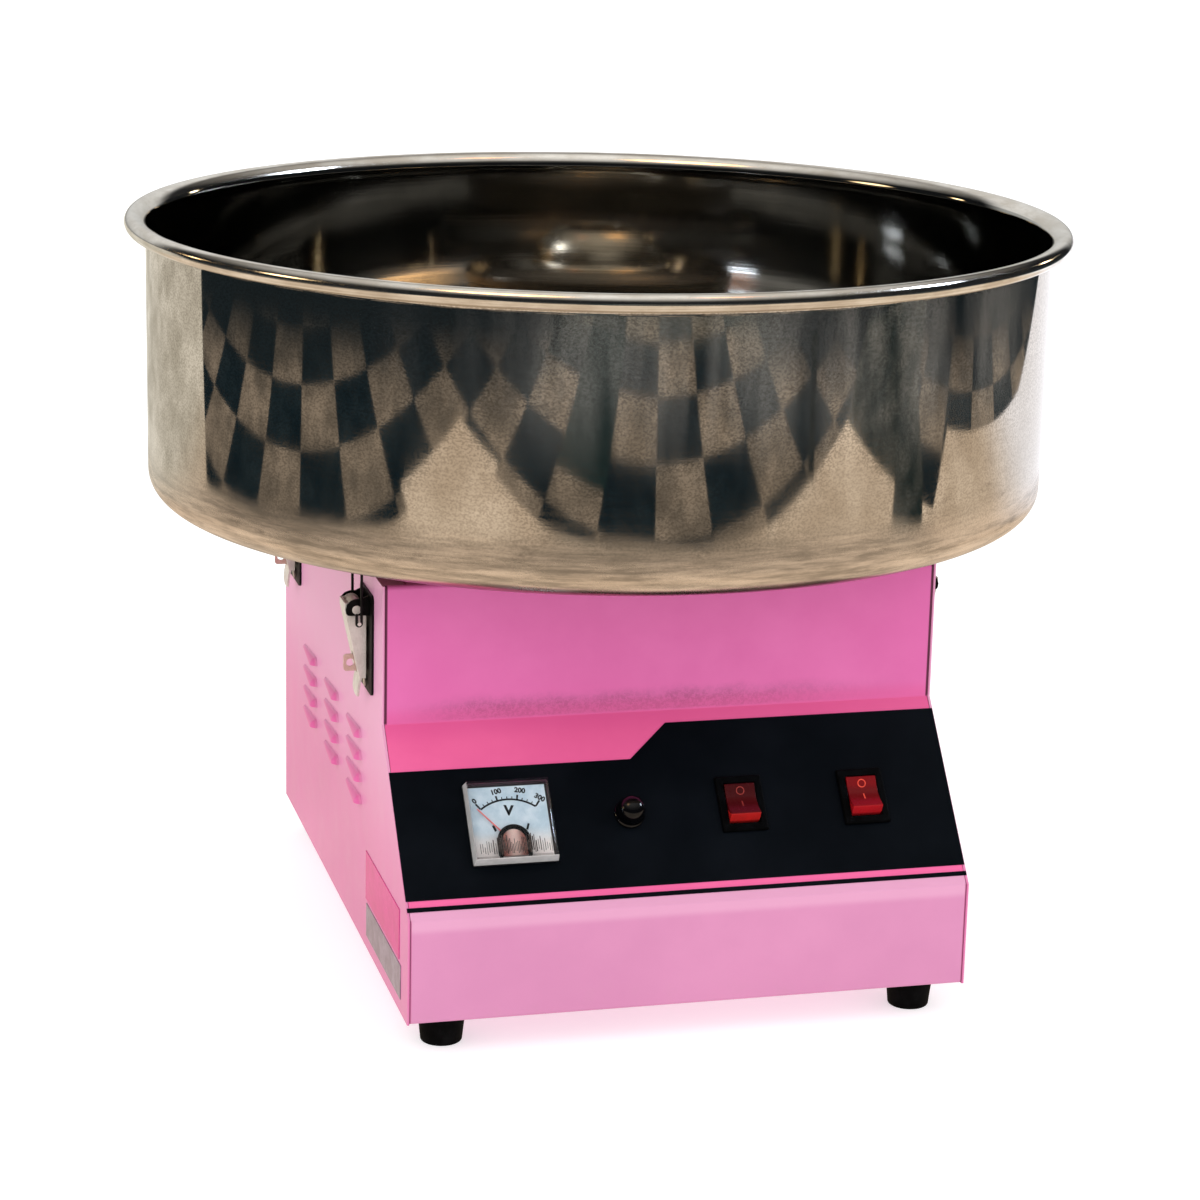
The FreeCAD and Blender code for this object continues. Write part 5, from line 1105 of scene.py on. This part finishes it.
def glow(name, build):
    """Emission material from a colour graph."""
    g = Graph(name)
    g.nt.nodes.remove(g.p)
    em = g.new("ShaderNodeEmission")
    g.link(build(g), em.inputs[0])
    em.inputs[1].default_value = 1.0
    g.link(em.outputs[0], g.out.inputs[0])
    return g.m


def tile_colour(g):
    """300 mm chequered floor tiles that darken towards the far side of the room."""
    x, y, z = g.sep()[:3]
    i = g.math("FLOOR", g.math("DIVIDE", g.math("ADD", x, 0.021), 0.303))
    j = g.math("FLOOR", g.math("DIVIDE", g.math("ADD", y, 1.320), 0.305))
    odd = g.math("MULTIPLY", g.math("FRACT", g.math("MULTIPLY", g.math("ADD", i, j), 0.5)), 2.0)
    mott = g.noise(5.0, 4.0, 0.65)
    light = g.mix(g.smooth(mott, 0.35, 0.68), (0.165, 0.140, 0.112), (0.36, 0.295, 0.230))
    dark = g.mix(g.smooth(mott, 0.35, 0.68), (0.009, 0.019, 0.026), (0.022, 0.036, 0.044))
    tile = g.mix(odd, dark, light)
    r = g.math("SQRT", g.math("ADD", g.math("MULTIPLY", x, x), g.math("MULTIPLY", y, y)))
    mid = g.smooth(g.math("ABSOLUTE", g.math("SUBTRACT", x, 0.05)), 1.15, 0.50)
    far = g.mix(mid, (0.016, 0.024, 0.029), (0.120, 0.140, 0.131))
    reach = g.math("SUBTRACT", r, g.math("MULTIPLY", mid, 0.40))
    return g.mix(g.smooth(reach, 1.66, 2.30), tile, far)


def paper_colour(g):
    """Light mat under the machine; towards the back right it catches the window."""
    x, y, z = g.sep()[:3]
    n = g.smooth(g.noise(3.0, 4.0, 0.6), 0.35, 0.68)
    base = g.mix(n, (0.70, 0.560, 0.42), (0.96, 0.80, 0.63))
    left = g.math("MULTIPLY", g.smooth(y, 0.55, 1.05), g.smooth(x, 0.2, -0.2))
    base = g.mix(left, base, g.mix(n, (0.58, 0.540, 0.45), (0.90, 0.85, 0.74)))
    d = g.math("ADD", y, g.math("MULTIPLY", x, 0.35))
    win = g.math("MULTIPLY", g.smooth(d, 0.50, 1.10), g.smooth(x, 0.15, 0.65))
    return g.mix(win, base, (1.16, 1.15, 1.20))


def two_tone(a, b, scale):
    return lambda g: g.mix(g.smooth(g.noise(scale, 4.0, 0.6), 0.35, 0.68), a, b)


def card(name, pts, z, mat):
    """Piece of the room that only the polished steel reflects; points in millimetres."""
    me = bpy.data.meshes.new(name)
    me.from_pydata([(x * 0.001, y * 0.001, z) for x, y in pts], [], [list(range(len(pts)))])
    me.materials.append(mat)
    ob = bpy.data.objects.new(name, me)
    coll.objects.link(ob)
    ob.visible_camera = False
    ob.visible_diffuse = False
    ob.visible_shadow = False
    ob.visible_transmission = False
    ob.visible_volume_scatter = False
    return ob


card("room_tiles", [(-6000, -6000), (6000, -6000), (6000, 6000), (-6000, 6000)], 0.0006, glow("room_tiles", tile_colour))
PAPER = glow("room_paper", paper_colour)
card("room_paper", [(-1260, -760), (-1260, -1250), (-930, -1290), (-930, -1235), (1260, -1235), (1260, -420), (1605, -375),
                    (1605, 630), (1950, 1410), (-1950, 1410), (-1125, 630), (-1150, -760)], 0.0008, PAPER)
card("room_back", [(-1950, 1410), (1950, 1410), (4010, 6000), (-6000, 6000), (-6000, 5240)], 0.0008, PAPER)
card("room_cart", [(1170, -480), (1350, -540), (1740, -750), (2250, -840), (2130, -1140), (1800, -1440), (1440, -1320),
                   (1260, -1230), (1260, -750), (1095, -690)], 0.0012,
     glow("room_cart", two_tone((0.022, 0.034, 0.034), (0.125, 0.130, 0.120), 5.0)))
card("room_leg_a", [(-630, -1470), (-315, -1470), (-315, -2250), (-630, -2250)], 0.0012,
     glow("room_leg_a", two_tone((0.012, 0.030, 0.032), (0.030, 0.050, 0.052), 4.0)))
card("room_leg_b", [(870, -1240), (905, -1220), (1375, -1790), (1325, -1815)], 0.0012,
     glow("room_leg_b", two_tone((0.012, 0.020, 0.022), (0.030, 0.036, 0.036), 4.0)))


def area(name, loc, target, size, power, color=(1, 1, 1), sy_=None, glossy=True):
    ld = bpy.data.lights.new(name, "AREA")
    ld.shape = "RECTANGLE"
    ld.size = size
    ld.size_y = sy_ or size
    ld.energy = power
    ld.color = color
    ob = bpy.data.objects.new(name, ld)
    coll.objects.link(ob)
    d = (Vector(target) - Vector(loc)).normalized()
    ob.matrix_world = Matrix.Translation(loc) @ d.to_track_quat("-Z", "Y").to_matrix().to_4x4()
    ob.visible_glossy = glossy
    return ob


area("key", (-1.7, -1.5, 2.3), (0, 0, 0.2), 1.3, 9.0, (1.0, 0.985, 0.97), glossy=False)
area("fill", (2.3, -1.6, 1.6), (0, 0, 0.2), 1.6, 5.0, (0.98, 0.99, 1.0), glossy=False)
area("back", (0.3, 2.4, 2.2), (0, 0, 0.3), 1.6, 6.0, (1.0, 0.98, 0.95), glossy=False)

world = bpy.data.worlds.new("studio")
scene.world = world
world.use_nodes = True
wn = world.node_tree
wn.nodes.clear()
wo = wn.nodes.new("ShaderNodeOutputWorld")
b1 = wn.nodes.new("ShaderNodeBackground")
b2 = wn.nodes.new("ShaderNodeBackground")
mx = wn.nodes.new("ShaderNodeMixShader")
lp = wn.nodes.new("ShaderNodeLightPath")
b1.inputs[0].default_value = (1.0, 1.0, 1.0, 1.0)
b1.inputs[1].default_value = 1.20
tc = wn.nodes.new("ShaderNodeTexCoord")
gen = tc.outputs["Generated"]
sx_ = wn.nodes.new("ShaderNodeSeparateXYZ")
wn.links.new(gen, sx_.inputs[0])


def w_range(v, a, b, c=0.0, d=1.0, smooth=True):
    n = wn.nodes.new("ShaderNodeMapRange")
    if smooth:
        n.interpolation_type = "SMOOTHSTEP"
    wn.links.new(v, n.inputs[0])
    for i, q in enumerate((a, b, c, d)):
        n.inputs[i + 1].default_value = q
    return n.outputs[0]


def w_ramp(stops):
    n = wn.nodes.new("ShaderNodeValToRGB")
    el = n.color_ramp.elements
    while len(el) > 1:
        el.remove(el[-1])
    for i, (pos, col) in enumerate(stops):
        e = el[0] if i == 0 else el.new(pos)
        e.position = pos
        e.color = (*col, 1.0)
    wn.links.new(w_range(sx_.outputs[2], -1.0, 1.0, 0.0, 1.0, False), n.inputs[0])
    return n.outputs[0]


def w_mix(fac, a, b, blend="MIX"):
    n = wn.nodes.new("ShaderNodeMix")
    n.data_type = "RGBA"
    n.blend_type = blend
    wn.links.new(fac, n.inputs[0])
    for sock, v in ((n.inputs[6], a), (n.inputs[7], b)):
        if isinstance(v, bpy.types.NodeSocket):
            wn.links.new(v, sock)
        else:
            sock.default_value = (*v, 1.0)
    return n.outputs[2]


# what polished parts see: a dim room in front, a pale wall behind, a bright ceiling
front = w_ramp([(0.0, (0.45, 0.40, 0.34)), (0.44, (0.20, 0.19, 0.17)), (0.47, (0.012, 0.013, 0.014)), (0.70, (0.010, 0.011, 0.012)),
                (0.78, (0.14, 0.135, 0.125)), (0.88, (0.50, 0.485, 0.46)), (1.0, (1.0, 0.98, 0.94))])
rear = w_ramp([(0.0, (0.45, 0.42, 0.38)), (0.49, (0.30, 0.30, 0.29)), (0.53, (0.62, 0.62, 0.60)), (0.80, (0.90, 0.89, 0.87)),
               (1.0, (1.0, 0.98, 0.94))])
room = w_mix(w_range(sx_.outputs[1], 0.72, 0.86), front, rear)
# lamps and a window: (azimuth from +Y towards +X, elevation, inner and outer angle, colour)
for az, el_, r0, r1, col in ((-54.5, 9.3, 1.2, 3.2, (9.0, 6.2, 3.2)), (-86.0, 14.5, 3.0, 8.0, (5.0, 3.7, 2.1)),
                             (-128.0, 63.0, 4.0, 13.0, (6.0, 3.6, 1.7)), (60.0, 10.0, 0.8, 2.6, (22.0, 17.0, 11.0)),
                             (132.0, 69.0, 2.0, 5.0, (4.0, 1.7, 0.9)), (97.0, 35.0, 5.0, 8.5, (20.0, 22.5, 27.0))):
    a_, e_ = math.radians(az), math.radians(el_)
    dv = wn.nodes.new("ShaderNodeVectorMath")
    dv.operation = "DOT_PRODUCT"
    wn.links.new(gen, dv.inputs[0])
    dv.inputs[1].default_value = (math.sin(a_) * math.cos(e_), math.cos(a_) * math.cos(e_), math.sin(e_))
    room = w_mix(w_range(dv.outputs["Value"], math.cos(math.radians(r1)), math.cos(math.radians(r0))), room, col)
wn.links.new(room, b2.inputs[0])
b2.inputs[1].default_value = 1.0
wn.links.new(lp.outputs["Is Glossy Ray"], mx.inputs[0])
wn.links.new(b1.outputs[0], mx.inputs[1])
wn.links.new(b2.outputs[0], mx.inputs[2])
wn.links.new(mx.outputs[0], wo.inputs[0])
